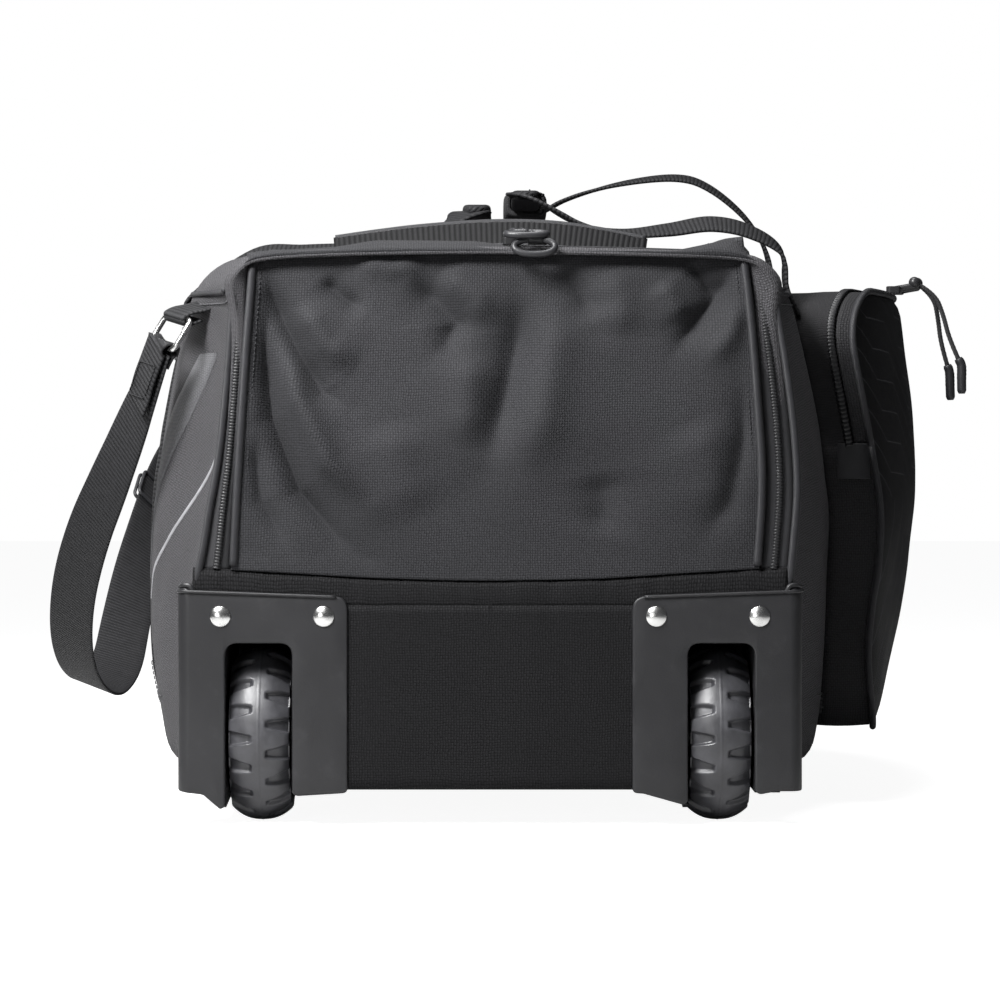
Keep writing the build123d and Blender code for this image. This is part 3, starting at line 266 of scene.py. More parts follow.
def smooth_cloth(name, rgb, rough=0.5):
    """Bias tape and piping: a fine smooth twill."""
    s = Shading(name, rough, sheen=0.03, specular=0.3)
    cloth = s.cloth()
    x, y = s.split(cloth)[:2]
    twill = s.math("SINE", s.math("MULTIPLY", s.math("ADD", x, y), 2 * pi / 0.0009))
    spots = s.noise(cloth, 90.0, 3.0)
    # Painted shade and highlight along the twill: the colour follows the twill's bump height, darker in its
    # valleys.
    base = s.mix(s.fit(twill, -1.0, 1.0), shade(rgb, 0.75), shade(rgb, 1.2))
    s.colour(s.mix(s.math("MULTIPLY", s.fit(spots, 0.35, 0.7), 0.5), base, shade(rgb, 1.5)))
    s.roughness(s.fit(spots, 0.2, 0.8, rough - 0.08, rough + 0.12))
    s.bump(twill, 0.0001, 0.6)
    s.bump(spots, 0.0005, 0.5)
    return s.material


def plastic(name, rgb, rough=0.45, grain=900.0, depth=0.00012):
    """Moulded plastic: fine spark grain, faint flow marks and scuffs."""
    s = Shading(name, rough, specular=0.34)
    space = s.space()
    fine = s.noise(space, grain, 2.0)
    flow = s.noise(space, 14.0, 4.0)
    scuff = s.noise(space, 70.0, 6.0, 0.7)
    base = s.mix(s.fit(flow, 0.3, 0.7), shade(rgb, 0.85), shade(rgb, 1.15))
    s.colour(s.mix(s.math("MULTIPLY", s.fit(scuff, 0.58, 0.75), 0.45), base, shade(rgb, 2.1)))
    satin = s.fit(flow, 0.2, 0.8, rough - 0.07, rough + 0.06)
    s.roughness(s.math("ADD", satin, s.fit(scuff, 0.5, 0.8, 0.0, 0.12)))
    s.bump(fine, depth, 0.7)
    s.bump(flow, 0.0006, 0.25)
    return s.material


def metal(name, rgb, rough):
    s = Shading(name, rough, metallic=1.0)
    space = s.space()
    marks = s.noise(space, 160.0, 4.0, 0.65)
    haze = s.noise(space, 30.0, 2.0)
    s.colour(s.mix(s.fit(marks, 0.45, 0.75), rgb, shade(rgb, 0.72)))
    satin = s.fit(haze, 0.3, 0.7, rough - 0.05, rough + 0.08)
    s.roughness(s.math("ADD", satin, s.fit(marks, 0.5, 0.8, 0.0, 0.12)))
    s.bump(marks, 0.00008, 0.5)
    return s.material


def rubber(name, rgb):
    s = Shading(name, 0.4, specular=0.55)
    space = s.space()
    dust = s.noise(space, 45.0, 5.0, 0.65)
    fine = s.noise(space, 700.0, 2.0)
    s.colour(s.mix(s.fit(dust, 0.42, 0.72), rgb, shade(rgb, 2.0)))
    s.roughness(s.fit(dust, 0.3, 0.75, 0.3, 0.6))
    s.bump(fine, 0.0001, 0.6)
    s.bump(dust, 0.0003, 0.3)
    return s.material


def pinstripes(name, rgb, line):
    """The pocket's smooth face, with fine printed lines that slant above and run down below."""
    s = Shading(name, 0.52, sheen=0.0, specular=0.15)
    cloth = s.cloth()
    y, z = s.split(cloth)[:2]
    thread = weave(s, cloth, 0.0006)
    saw = s.math("PINGPONG", y, 0.035)
    slant = s.math("ADD", s.math("MULTIPLY_ADD", y, 0.55, z), s.math("MULTIPLY", saw, 0.5))
    upper = s.math("LESS_THAN", s.math("FRACT", s.math("MULTIPLY", slant, 1 / 0.021)), 0.035)
    bend = s.math("MULTIPLY", s.math("POWER", s.math("SUBTRACT", z, 0.30), 2.0), 1.6)
    upright = s.math("FRACT", s.math("MULTIPLY", s.math("ADD", y, bend), 1 / 0.024))
    lower = s.math("LESS_THAN", upright, 0.03)
    high = s.math("GREATER_THAN", z, 0.205)
    lines = s.math("ADD", s.math("MULTIPLY", upper, high),
                   s.math("MULTIPLY", lower, s.math("SUBTRACT", 1.0, high)))
    patches = s.noise(s.space(), 12.0, 3.0)
    # Painted shade in the weave's gaps and painted highlight on its threads: the colour follows thread
    # height.
    base = s.mix(s.fit(thread, 0.2, 0.9), shade(rgb, 0.8), shade(rgb, 1.15))
    tone = s.mix(s.math("MULTIPLY", s.fit(patches, 0.3, 0.7), 0.4), base, shade(rgb, 1.5))
    s.colour(s.mix(s.math("MULTIPLY", lines, 0.8), tone, line))
    s.roughness(s.fit(patches, 0.3, 0.7, 0.46, 0.6))
    s.bump(thread, 0.00012, 0.6)
    return s.material


CANVAS = canvas("canvas_woven", (0.040, 0.039, 0.042))
# Painted shade: the wrap panel is the same canvas painted about six times darker, for the lower light it gets
# low down and upright.
SHADED_WRAP_CANVAS = canvas("canvas_wrap_shaded", (0.0065, 0.0064, 0.007), specular=0.1)
LINING = canvas("canvas_lining", (0.018, 0.018, 0.020), 0.0016, 0.8, 0.6)
BAND = canvas("band_silver", (0.085, 0.085, 0.09), 0.0018, 0.55, 0.35)
LINE = smooth_cloth("line_light", (0.20, 0.20, 0.21), 0.6)
POCKET = pinstripes("pocket_smooth", (0.006, 0.0057, 0.0063), (0.07, 0.07, 0.075))
GUSSET = canvas("pocket_gusset_cloth", (0.014, 0.0138, 0.015), 0.0018, 0.65, 0.7, specular=0.15)
PIPING = smooth_cloth("piping_bias", (0.014, 0.014, 0.016))
TAPE = smooth_cloth("zip_tape_twill", (0.020, 0.020, 0.022), 0.7)
COIL = plastic("zip_coil_nylon", (0.010, 0.010, 0.011), 0.4)
PULL = plastic("pull_moulded", (0.020, 0.020, 0.022), 0.38)
ZIP_METAL = plastic("slider_painted", (0.018, 0.018, 0.019), 0.32, 500.0, 0.00006)
CORD = smooth_cloth("cord_braid", (0.018, 0.018, 0.019), 0.62)
WEBBING = ribbed("webbing_ribbed", (0.018, 0.018, 0.019), edge=0.0155)
STRAP_WEB = ribbed("strap_ribbed", (0.015, 0.015, 0.016))
GRAB_WEB = ribbed("grab_ribbed", (0.0045, 0.0045, 0.005), 0.0034)
PAD = canvas("sleeve_cloth", (0.015, 0.015, 0.016), 0.0018, 0.7, 0.7)
BRIGHT = metal("steel_bright", (0.66, 0.66, 0.65), 0.22)
STEEL = metal("steel_plain", (0.60, 0.60, 0.59), 0.3)
HOUSING = plastic("housing_moulded", (0.013, 0.013, 0.0142), 0.42, 1100.0)
BOARD = plastic("board_sheet", (0.05, 0.05, 0.05), 0.55)
TYRE = rubber("tyre_rubber", (0.026, 0.026, 0.029))
HUB = plastic("hub_moulded", (0.035, 0.035, 0.036), 0.4)
GRIP = rubber("grip_soft", (0.024, 0.024, 0.024))
THREAD = smooth_cloth("thread", (0.062, 0.062, 0.066), 0.6)


# ------------------------------------------------------------------ mesh building

class Part:
    """Gathers one piece's mesh, in bag millimetres, with a map of its cloth in metres."""

    def __init__(self):
        self.verts = []
        self.faces = []
        self.maps = []

    def grid(self, rows, maps=None, wrap=False, flip=False):
        """Quads between rows of points. maps gives each point's place on the cloth."""
        columns = len(rows[0])
        if maps is None:
            maps = cloth_map(rows, wrap)
        start = len(self.verts)
        for row in rows:
            self.verts.extend(row)
        for i in range(len(rows) - 1):
            for j in range(columns if wrap else columns - 1):
                k = (j + 1) % columns
                face = [start + i * columns + j, start + i * columns + k,
                        start + (i + 1) * columns + k, start + (i + 1) * columns + j]
                spots = [maps[i][j], maps[i][j + 1], maps[i + 1][j + 1], maps[i + 1][j]]
                if flip:
                    face.reverse()
                    spots.reverse()
                self.faces.append(face)
                self.maps.append(spots)
        return start

    def cap(self, first, count, flip=False):
        """Closes a ring of points with one face."""
        face = list(range(first, first + count))
        middle = sum((Vector(self.verts[i]) for i in face), Vector()) / count
        arms = [Vector(self.verts[i]) - middle for i in face]
        side = arms[1].cross(arms[0]).normalized().orthogonal().normalized()
        other = arms[1].cross(arms[0]).normalized().cross(side)
        spots = [(arm.dot(side) * MM, arm.dot(other) * MM) for arm in arms]
        if flip:
            face.reverse()
            spots.reverse()
        self.faces.append(face)
        self.maps.append(spots)

    def sweep(self, path, profile, hints=None, closed=False, scales=None):
        """A profile of (across, up) carried along a path. hints lean towards across."""
        frames = path_frames(path, hints, closed)
        rows = []
        for i, (point, across, up) in enumerate(frames):
            grow = scales[i] if scales else 1.0
            rows.append([point + across * (a * grow) + up * (b * grow) for a, b in profile])
        length = 0.0
        run = [0.0]
        for a, b in zip(profile, profile[1:] + profile[:1]):
            length += sqrt((a[0] - b[0])**2 + (a[1] - b[1])**2)
            run.append(length)
        along = [0.0]
        for (a, *_), (b, *_) in zip(frames, frames[1:]):
            along.append(along[-1] + (b - a).length)
        flat = max(abs(a) for a, _ in profile) > 2.5 * max(abs(b) for _, b in profile)
        if flat:
            ends = [a for a, _ in profile] + [profile[0][0]]
            maps = [[(u * MM, v * MM) for u in ends] for v in along]
        else:
            maps = [[(u * MM, v * MM) for u in run] for v in along]
        count = len(profile)
        if closed:
            rows.append(rows[0])
            maps.append([(u, along[-1] * MM) for u, _ in maps[0]])
        start = self.grid(rows, maps, wrap=True)
        if not closed:
            self.cap(start, count, flip=True)
            self.cap(start + (len(rows) - 1) * count, count)
        return self

    def tube(self, path, radius, sides=12, closed=False, scales=None):
        profile = [(radius * cos(2 * pi * k / sides), radius * sin(2 * pi * k / sides)) for k in range(sides)]
        return self.sweep(path, profile, None, closed, scales)

    def stitches(self, path, normals, pitch=3.4, length=2.3, radius=0.42):
        """A row of thread stitches that lie on a surface along a path."""
        points, ups = even_steps(path, normals, pitch)
        for a, b, up in zip(points, points[1:], ups):
            ahead = (b - a).normalized()
            ends = [a + ahead * (share * length) + up * lift
                    for share, lift in ((0, -0.1), (0.15, radius * 0.7), (0.85, radius * 0.7), (1, -0.1))]
            self.tube(ends, radius, 6)
        return self

    def lathe(self, origin, axis, outline, sides=40):
        """A turned shape. outline is (along the axis, radius)."""
        axis = Vector(axis).normalized()
        side = axis.orthogonal().normalized()
        other = axis.cross(side)
        rows = []
        maps = []
        for along, radius in outline:
            ring = []
            for k in range(sides):
                turn = 2 * pi * k / sides
                ring.append(Vector(origin) + axis * along + (side * cos(turn) + other * sin(turn)) * radius)
            rows.append(ring)
            maps.append([(2 * pi * radius * k / sides * MM, along * MM) for k in range(sides + 1)])
        self.grid(rows, maps, wrap=True)
        return self

    def make(self, name, body, slot, material, nodes=(), solid=0.0, sharp=None, ride=True, out=True):
        """The Blender object, on its body, in place of its CAD nodes."""
        mesh = bpy.data.meshes.new(name)
        mesh.from_pydata([place(v) for v in self.verts], [], self.faces)
        layer = mesh.uv_layers.new(name="cloth")
        spots = [spot for face in self.maps for spot in face]
        for loop, spot in zip(layer.uv, spots):
            loop.vector = spot
        mesh.materials.append(material)
        bm = bmesh.new()
        bm.from_mesh(mesh)
        bmesh.ops.remove_doubles(bm, verts=bm.verts, dist=1e-6)
        if out:
            bmesh.ops.recalc_face_normals(bm, faces=bm.faces)
        bm.to_mesh(mesh)
        bm.free()
        return finish_piece(mesh, name, body, nodes, solid=solid, sharp=sharp, ride=ride)


def finish_piece(mesh, name, body, nodes, solid=0.0, bevel=0.0, sharp=None, ride=True):
    """The object with its wall, rounded edges and body."""
    for polygon in mesh.polygons:
        polygon.use_smooth = True
    if sharp:
        mesh.set_sharp_from_angle(angle=radians(sharp))
    piece = bpy.data.objects.new(name, mesh)
    bpy.context.scene.collection.objects.link(piece)
    if solid:
        wall = piece.modifiers.new("wall", "SOLIDIFY")
        wall.thickness = solid * MM
        wall.offset = -1
        wall.use_even_offset = False
    if bevel:
        edge = piece.modifiers.new("edges", "BEVEL")
        edge.width = bevel * MM
        edge.segments = 3
        edge.limit_method = "ANGLE"
        edge.angle_limit = radians(28)
        edge.harden_normals = False
    if nodes:
        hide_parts(*nodes)
    if ride:
        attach(piece, body)
    return piece


def cloth_map(rows, wrap):
    """Each point's place on the cloth, from the distances along and across the rows."""
    middle = rows[len(rows) // 2]
    across = [0.0]
    for a, b in zip(middle, middle[1:] + middle[:1]):
        across.append(across[-1] + (Vector(b) - Vector(a)).length)
    if not wrap:
        across.pop()
    column = len(middle) // 2
    along = [0.0]
    for a, b in zip(rows, rows[1:]):
        along.append(along[-1] + (Vector(b[column]) - Vector(a[column])).length)
    return [[(u * MM, v * MM) for u in across] for v in along]


def path_frames(path, hints, closed):
    """(point, across, up) along a path. Without hints, the frame is carried with no twist."""
    points = [Vector(p) for p in path]
    count = len(points)
    frames = []
    across = None
    for i, point in enumerate(points):
        if closed:
            along = (points[(i + 1) % count] - points[i - 1]).normalized()
        else:
            along = (points[min(i + 1, count - 1)] - points[max(i - 1, 0)]).normalized()
        if hints:
            across = Vector(hints[i])
        elif across is None:
            across = along.orthogonal()
        across = (across - along * across.dot(along)).normalized()
        frames.append((point, across.copy(), along.cross(across)))
    return frames


def curve(points, steps=8, closed=False):
    """A smooth line through points."""
    points = [Vector(p) for p in points]
    count = len(points)
    made = []
    for i in range(count if closed else count - 1):
        a = points[i - 1] if closed or i > 0 else points[0] * 2 - points[1]
        b = points[i]
        c = points[(i + 1) % count]
        d = points[(i + 2) % count] if closed or i + 2 < count else points[-1] * 2 - points[-2]
        for k in range(steps):
            t = k / steps
            made.append(0.5 * ((2 * b) + (c - a) * t + (2 * a - 5 * b + 4 * c - d) * t**2
                               + (3 * b - a - 3 * c + d) * t**3))
    if not closed:
        made.append(points[-1])
    return made


def even_steps(path, normals, pitch):
    """Points a pitch apart along a path, with its normals."""
    points = [Vector(path[0])]
    ups = [Vector(normals[0])]
    travelled = 0.0
    goal = pitch
    for i in range(len(path) - 1):
        a, b = Vector(path[i]), Vector(path[i + 1])
        run = (b - a).length
        while travelled + run >= goal and run > 0:
            t = (goal - travelled) / run
            points.append(a.lerp(b, t))
            ups.append(Vector(normals[i]).lerp(Vector(normals[i + 1]), t).normalized())
            goal += pitch
        travelled += run
    return points, ups


def strip_profile(width, thick, columns=8, crown=0.0):
    """Cross-section of webbing with rounded edges."""
    half = width / 2
    turn = thick / 2
    top = []
    for k in range(columns + 1):
        a = (half - turn) * (2 * k / columns - 1)
        top.append((a, turn + crown * (1 - (a / half)**2)))
    right = [(half - turn + turn * cos(t), turn * sin(t)) for t in (pi / 4, 0, -pi / 4)]
    bottom = [(a, b - 2 * turn) for a, b in reversed(top)]
    left = [(-half + turn - turn * cos(t), turn * sin(t)) for t in (-pi / 4, 0, pi / 4)]
    return top + right + bottom + left


def rounded_outline(corners, segments=6):
    """A closed outline of (a, b, radius) corners, with each corner rounded."""
    made = []
    count = len(corners)
    for i, (a, b, radius) in enumerate(corners):
        at = Vector((a, b))
        before = Vector(corners[i - 1][:2])
        after = Vector(corners[(i + 1) % count][:2])
        if radius <= 0:
            made.append((a, b))
            continue
        into = (before - at).normalized()
        out = (after - at).normalized()
        half = into.angle(out) / 2
        reach = min(radius / max(abs(sin(half) / max(cos(half), 1e-6)), 1e-6),
                    0.48 * (before - at).length, 0.48 * (after - at).length)
        p0 = at + into * reach
        p2 = at + out * reach
        for k in range(segments + 1):
            t = k / segments
            made.append(tuple(p0 * (1 - t)**2 + at * (2 * t * (1 - t)) + p2 * t**2))
    return made


def rounded_box(half_a, half_b, radius, segments=6):
    """A rounded rectangle round the middle."""
    corners = [(-half_a, -half_b), (half_a, -half_b), (half_a, half_b), (-half_a, half_b)]
    return rounded_outline([(a, b, radius) for a, b in corners], segments)


def arc3(a, b, c, count):
    """Points on the circle through a, b and c, from a to c."""
    ax, ay = a
    bx, by = b
    cx, cy = c
    d = 2 * (ax * (by - cy) + bx * (cy - ay) + cx * (ay - by))
    if abs(d) < 1e-6:
        return [(ax + (cx - ax) * k / count, ay + (cy - ay) * k / count) for k in range(count + 1)]
    ux = ((ax**2 + ay**2) * (by - cy) + (bx**2 + by**2) * (cy - ay) + (cx**2 + cy**2) * (ay - by)) / d
    uy = ((ax**2 + ay**2) * (cx - bx) + (bx**2 + by**2) * (ax - cx) + (cx**2 + cy**2) * (bx - ax)) / d
    radius = sqrt((ax - ux)**2 + (ay - uy)**2)
    first = atan2(ay - uy, ax - ux)
    last = atan2(cy - uy, cx - ux)
    middle = atan2(by - uy, bx - ux)
    turn = (last - first) % (2 * pi)
    if (middle - first) % (2 * pi) > turn:
        turn -= 2 * pi
    return [(ux + radius * cos(first + turn * k / count), uy + radius * sin(first + turn * k / count))
            for k in range(count + 1)]


def cad_copy(node, name, body, material, bevel=0.8, keep=()):
    """A hard CAD node's shape with its edges rounded."""
    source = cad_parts[node]
    mesh = source.data.copy()
    mesh.transform(source.matrix_world)
    bm = bmesh.new()
    bm.from_mesh(mesh)
    bmesh.ops.remove_doubles(bm, verts=bm.verts, dist=2e-6)
    for point, normal in keep:
        geometry = bm.verts[:] + bm.edges[:] + bm.faces[:]
        bmesh.ops.bisect_plane(bm, geom=geometry, plane_co=place(point), plane_no=normal, clear_outer=True)
    bmesh.ops.dissolve_limit(bm, angle_limit=radians(1.5), verts=bm.verts, edges=bm.edges)
    bm.to_mesh(mesh)
    bm.free()
    box_map(mesh)
    mesh.materials.clear()
    mesh.materials.append(material)
    for polygon in mesh.polygons:
        polygon.material_index = 0
    return finish_piece(mesh, name, body, (node,), bevel=bevel, sharp=32)


def box_map(mesh):
    """A cloth map seen along each face's main direction."""
    while mesh.uv_layers:
        mesh.uv_layers.remove(mesh.uv_layers[0])
    layer = mesh.uv_layers.new(name="cloth")
    for polygon in mesh.polygons:
        normal = polygon.normal
        main = max(range(3), key=lambda k: abs(normal[k]))
        first, second = [(1, 2), (0, 2), (0, 1)][main]
        for loop in polygon.loop_indices:
            at = mesh.vertices[mesh.loops[loop].vertex_index].co
            layer.uv[loop].vector = (at[first], at[second])


def paint(material, *nodes):
    for node in nodes:
        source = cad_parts[node]
        source.data.materials.clear()
        source.data.materials.append(material)


# ------------------------------------------------------------------ camera, floor and light

def set_stage():
    scene = bpy.context.scene
    camera = bpy.data.objects.new("camera", bpy.data.cameras.new("camera"))
    camera.data.sensor_width = 36.0
    camera.data.lens = 128.6
    camera.data.shift_y = -0.03
    camera.data.clip_end = 50.0
    camera.location = place((6.3, -2250, 224))
    camera.rotation_euler = (pi / 2, 0, 0)
    scene.collection.objects.link(camera)
    scene.camera = camera

    part = Part()
    part.grid([[Vector((x, y, 0)) for x in (-9000, 9000)] for y in (-9000, 9000)])
    mesh = bpy.data.meshes.new("floor")
    mesh.from_pydata([place(v) for v in part.verts], [], part.faces)
    s = Shading("floor_pale", 0.85, specular=0.1)
    seen = s.node("ShaderNodeLightPath").outputs["Is Camera Ray"]
    tone = s.mix(s.noise(s.space(), 2.0), (0.50, 0.50, 0.50), (0.54, 0.54, 0.54))
    s.colour(tone)
    s.put(s.shader.inputs["Emission Color"], (1, 1, 1, 1))
    s.put(s.shader.inputs["Emission Strength"], s.math("MULTIPLY", seen, 0.93))
    mesh.materials.append(s.material)
    floor_object = bpy.data.objects.new("floor", mesh)
    scene.collection.objects.link(floor_object)

    world = bpy.data.worlds.new("studio")
    world.use_nodes = True
    tree = world.node_tree
    tree.nodes.clear()
    seen = tree.nodes.new("ShaderNodeBackground")
    seen.inputs["Color"].default_value = (1, 1, 1, 1)
    light = tree.nodes.new("ShaderNodeBackground")
    light.inputs["Color"].default_value = (0.94, 0.96, 1.0, 1)
    light.inputs["Strength"].default_value = 0.06
    mixed = tree.nodes.new("ShaderNodeMixShader")
    rays = tree.nodes.new("ShaderNodeLightPath")
    out = tree.nodes.new("ShaderNodeOutputWorld")
    tree.links.new(rays.outputs["Is Camera Ray"], mixed.inputs[0])
    tree.links.new(light.outputs[0], mixed.inputs[1])
    tree.links.new(seen.outputs[0], mixed.inputs[2])
    tree.links.new(mixed.outputs[0], out.inputs[0])
    scene.world = world
    for name, at, power, size in (
        ("key", (-640, -680, 1180), 22.0, 0.6),
        ("top", (-150, 150, 1700), 11.0, 1.0),
        ("front", (-1100, -2300, 500), 3.4, 1.0),
        ("rim", (-1500, 1500, 900), 2.5, 1.2),
    ):
        lamp = bpy.data.lights.new(name, "AREA")
        lamp.energy = power
        lamp.shape = "DISK"
        lamp.size = size
        lamp.spread = radians(110)
        holder = bpy.data.objects.new(name, lamp)
        holder.location = place(at)
        aim = place((-130, 100, 230)) - holder.location
        holder.rotation_euler = aim.to_track_quat("-Z", "Y").to_euler()
        scene.collection.objects.link(holder)
    scene.view_settings.view_transform = "Standard"


set_stage()


# ------------------------------------------------------------------ cords

def route_points(name, controls):
    """Points along an open NURBS spline with these control points, read back in millimetres."""
    data = bpy.data.curves.new(name, "CURVE")
    data.dimensions = "3D"
    spline = data.splines.new("NURBS")
    spline.points.add(len(controls) - 1)
    for point, control in zip(spline.points, controls):
        point.co = (*place(control), 1)
    spline.order_u = 3
    spline.use_endpoint_u = True
    spline.resolution_u = 12
    holder = bpy.data.objects.new(name, data)
    bpy.context.scene.collection.objects.link(holder)
    bpy.context.view_layer.update()
    mesh = bpy.data.meshes.new_from_object(holder)
    points = [(v.co - ORIGIN) / MM for v in mesh.vertices]
    bpy.data.objects.remove(holder)
    bpy.data.meshes.remove(mesh)
    return points


def station_at(y):
    share = y / BODY_LENGTH
    swell = spread([(a, b) for a, b, _ in STATIONS], share)
    rise = spread([(a, c) for a, _, c in STATIONS], share)
    return swell, rise


def shoulder_line(y):
    """Half-width of the CAD bag's shoulder at y."""
    share = y / BODY_LENGTH
    for (a, low, _), (b, high, _) in zip(STATIONS, STATIONS[1:]):
        if a <= share <= b:
            return END_HALF_WIDTH + (SWELL - 18) * (low + (high - low) * (share - a) / (b - a)) - 7
    return END_HALF_WIDTH


def ring_frame(near):
    """A strap ring's upper bar, the bar's direction and the way down the ring."""
    flip = 1 if near else -1
    y = 92.0 if near else BODY_LENGTH - 100
    at = Vector((-shoulder_line(y) - 11.0, y, END_TOP - 37))
    down = Vector((-0.50, -0.10 * flip, -0.85)).normalized()
    bar = Vector((0.50, -0.87 * flip, 0.0))
    bar = (bar - down * bar.dot(down)).normalized()
    return at, bar, down


RING_DROP = 22.0
STRAP_POINTS = [
    (-226, 98, 277), (-239, 116, 249), (-255, 140, 216), (-274, 176, 180), (-290, 226, 140),
    (-298, 280, 102), (-297, 332, 75), (-289, 382, 62), (-281, 430, 76), (-279, 474, 108),
    (-275, 518, 146), (-268, 562, 184), (-262, 606, 218), (-250, 654, 248), (-237, 696, 268),
    (-231, 724, 284),
]
CORD_POINTS = {
    "a": [(297, 226, 352), (308, 227, 346), (314, 228, 331), (318, 229, 315), (325, 230, 300)],
    "b": [(301, 248, 352), (310, 249, 345), (313, 250, 329), (315, 251, 312), (320, 252, 296)],
}
SLEEVE_ENDS = {"a": (327, 231, 277), "b": (322, 253, 273)}


def fold_back(name, near):
    """The strap's end where it turns round a ring's bar and is sewn back on itself."""
    bar_at = STRAP_LINE[0] if near else STRAP_LINE[-1]
    ahead = STRAP_LINE[10] if near else STRAP_LINE[-11]
    _, bar, _ = ring_frame(near)
    down = (ahead - bar_at).normalized()
    out = down.cross(bar).normalized()
    if out.x > 0:
        out = -out
    gap = 3.6
    path = [bar_at + down * 44 + out * 2.9]
    path += [bar_at + down * k + out * (gap if k < 30 else 3.0) for k in (36, 24, 12)]
    path += [bar_at + down * (gap * cos(t)) + out * (gap * sin(t)) for t in (1.3, 1.9, 2.6, pi, 3.7, 4.3)]
    path += [bar_at + down * 8 - out * 2.6]
    line = curve(path, 4)
    part = Part().sweep(line, strip_profile(WEB - 0.6, 2.0), [bar] * len(line))
    for reach in (14, 38):
        row = [bar_at + down * reach + bar * s + out * 4.7 for s in (-15, 0, 15)]
        part.stitches(curve(row, 4), [out] * 9, 3.2, 2.4, 0.5)
    for side in (-15, 15):
        row = [bar_at + down * k + bar * side + out * 4.7 for k in (14, 26, 38)]
        part.stitches(curve(row, 4), [out] * 9, 3.2, 2.4, 0.5)
    return part.make(name, "root", "webbing", STRAP_WEB)


near_at, near_bar, near_down = ring_frame(True)
far_at, far_bar, far_down = ring_frame(False)
strap_controls = [near_at + near_down * RING_DROP] + STRAP_POINTS + [far_at + far_down * RING_DROP]
STRAP_LINE = route_points("strap_route", strap_controls)


def strap_hint(share):
    return (near_bar * (1 - share) + far_bar * share).normalized()


def make_strap():
    count = len(STRAP_LINE)
    hints = []
    for i in range(count):
        share = i / (count - 1)
        hint = strap_hint(share)
        sway = 0.16 * sin(3 * pi * share)
        hints.append(Matrix.Rotation(sway, 3, "Z") @ hint)
    profile = strip_profile(WEB, 2.3)
    strap = Part().sweep(STRAP_LINE, profile, hints).make(
        "strap_webbing", "root", "webbing", STRAP_WEB, ("shoulder_strap",))
    slide_at = (Vector(STRAP_POINTS[11]) + Vector(STRAP_POINTS[12])) / 2
    middle = min(STRAP_LINE, key=lambda p: (p - slide_at).length)
    i = STRAP_LINE.index(middle)
    along = (STRAP_LINE[i + 1] - STRAP_LINE[i - 1]).normalized()
    hint = hints[i]
    across = (hint - along * hint.dot(along)).normalized()
    up = along.cross(across)
    part = Part()
    half_w, half_l, lift = WEB / 2 + 2.4, 13.5, 2.6
    for way in (-1, 1):
        ring = rounded_box(half_w, half_l, 4)
        loop = [middle + across * u + along * v + up * (way * lift) for u, v in ring]
        part.tube(loop, 1.35, 10, closed=True)
    bar = [middle + across * u + up * (lift + 0.6) for u in (-half_w, 0, half_w)]
    part.tube(bar, 1.9, 10)
    slide = part.make("strap_slide_bars", "root", "moulded_pulls", PULL, ("strap_slide",))
    folds = [fold_back("strap_fold_near", True), fold_back("strap_fold_far", False)]


def make_cords():
    for key, controls in CORD_POINTS.items():
        line = route_points("cord_route_" + key, controls)
        pulse = [1 + 0.05 * (-1)**i for i in range(len(line))]
        body = "pocket_runner_" + key
        cord = Part().tube(line, 1.6, 12, scales=pulse).make(
            "cord_braid_" + key, body, "pull_cord", CORD, ("pull_cord_" + key,))
        start = Vector(controls[-1])
        along = (start - Vector(controls[-2])).normalized()
        end = Vector(SLEEVE_ENDS[key])
        elbow = start + along * 4
        line_out = curve([start - along * 1.5, elbow, elbow.lerp(end, 0.5), end], 8)
        sizes = []
        for k in range(len(line_out)):
            share = k / (len(line_out) - 1)
            sizes.append(0.86 + 0.14 * step(0.0, 0.12, share) + (0.05 if 0.3 < share < 0.7 and k % 2 else 0.0)
                         - 0.35 * step(0.93, 1.0, share))
        sleeve = Part().tube(line_out, 3.2, 16, scales=sizes).make(
            "cord_sleeve_" + key, body, "moulded_pulls", PULL, ("pull_sleeve_" + key,))


make_strap()
make_cords()


# ------------------------------------------------------------------ the bag's surface

SIDE_STEPS = (8, 6, 40, 12, 16)
HALF_STEPS = sum(SIDE_STEPS)
ROW_PITCH = 5.0
ROWS = int(BODY_LENGTH / ROW_PITCH) + 1


def half_section(y):
    """The bag's right half in cross-section, from the middle of its underside to the middle of its top."""
    swell, rise = station_at(y)
    top = END_TOP + TOP_RISE * rise
    side = END_HALF_WIDTH + SWELL * swell
    base = END_HALF_WIDTH + BASE_SWELL * swell
    shoulder = END_HALF_WIDTH + (SWELL - 18) * swell - 7
    flat = TOP_HALF_WIDTH
    low = FLOOR_GAP
    corner = BASE_CORNER
    turn = corner * (1 - sin(pi / 4))
    shoulder_z = low + 0.885 * (top - low)
    side_z = low + 0.54 * (top - low)
    n = SIDE_STEPS
    points = [((base - corner) * k / n[0], low) for k in range(n[0])]
    points += arc3((base - corner, low), (base - turn, low + turn), (base, low + corner), n[1])[:-1]
    points += arc3((base, low + corner), (side, side_z), (shoulder, shoulder_z), n[2])[:-1]
    bend = (flat + 0.72 * (shoulder - flat), shoulder_z + 0.66 * (top - shoulder_z))
    points += arc3((shoulder, shoulder_z), bend, (flat, top), n[3])[:-1]
    points += arc3((flat, top), (flat / 2, top + CROWN * 0.75), (0, top + CROWN), n[4])
    for _ in range(4):
        eased = list(points)
        for k in range(1, len(points) - 1):
            before, at, after = points[k - 1:k + 2]
            eased[k] = tuple(0.25 * before[c] + 0.5 * at[c] + 0.25 * after[c] for c in (0, 1))
        points = eased
    return points


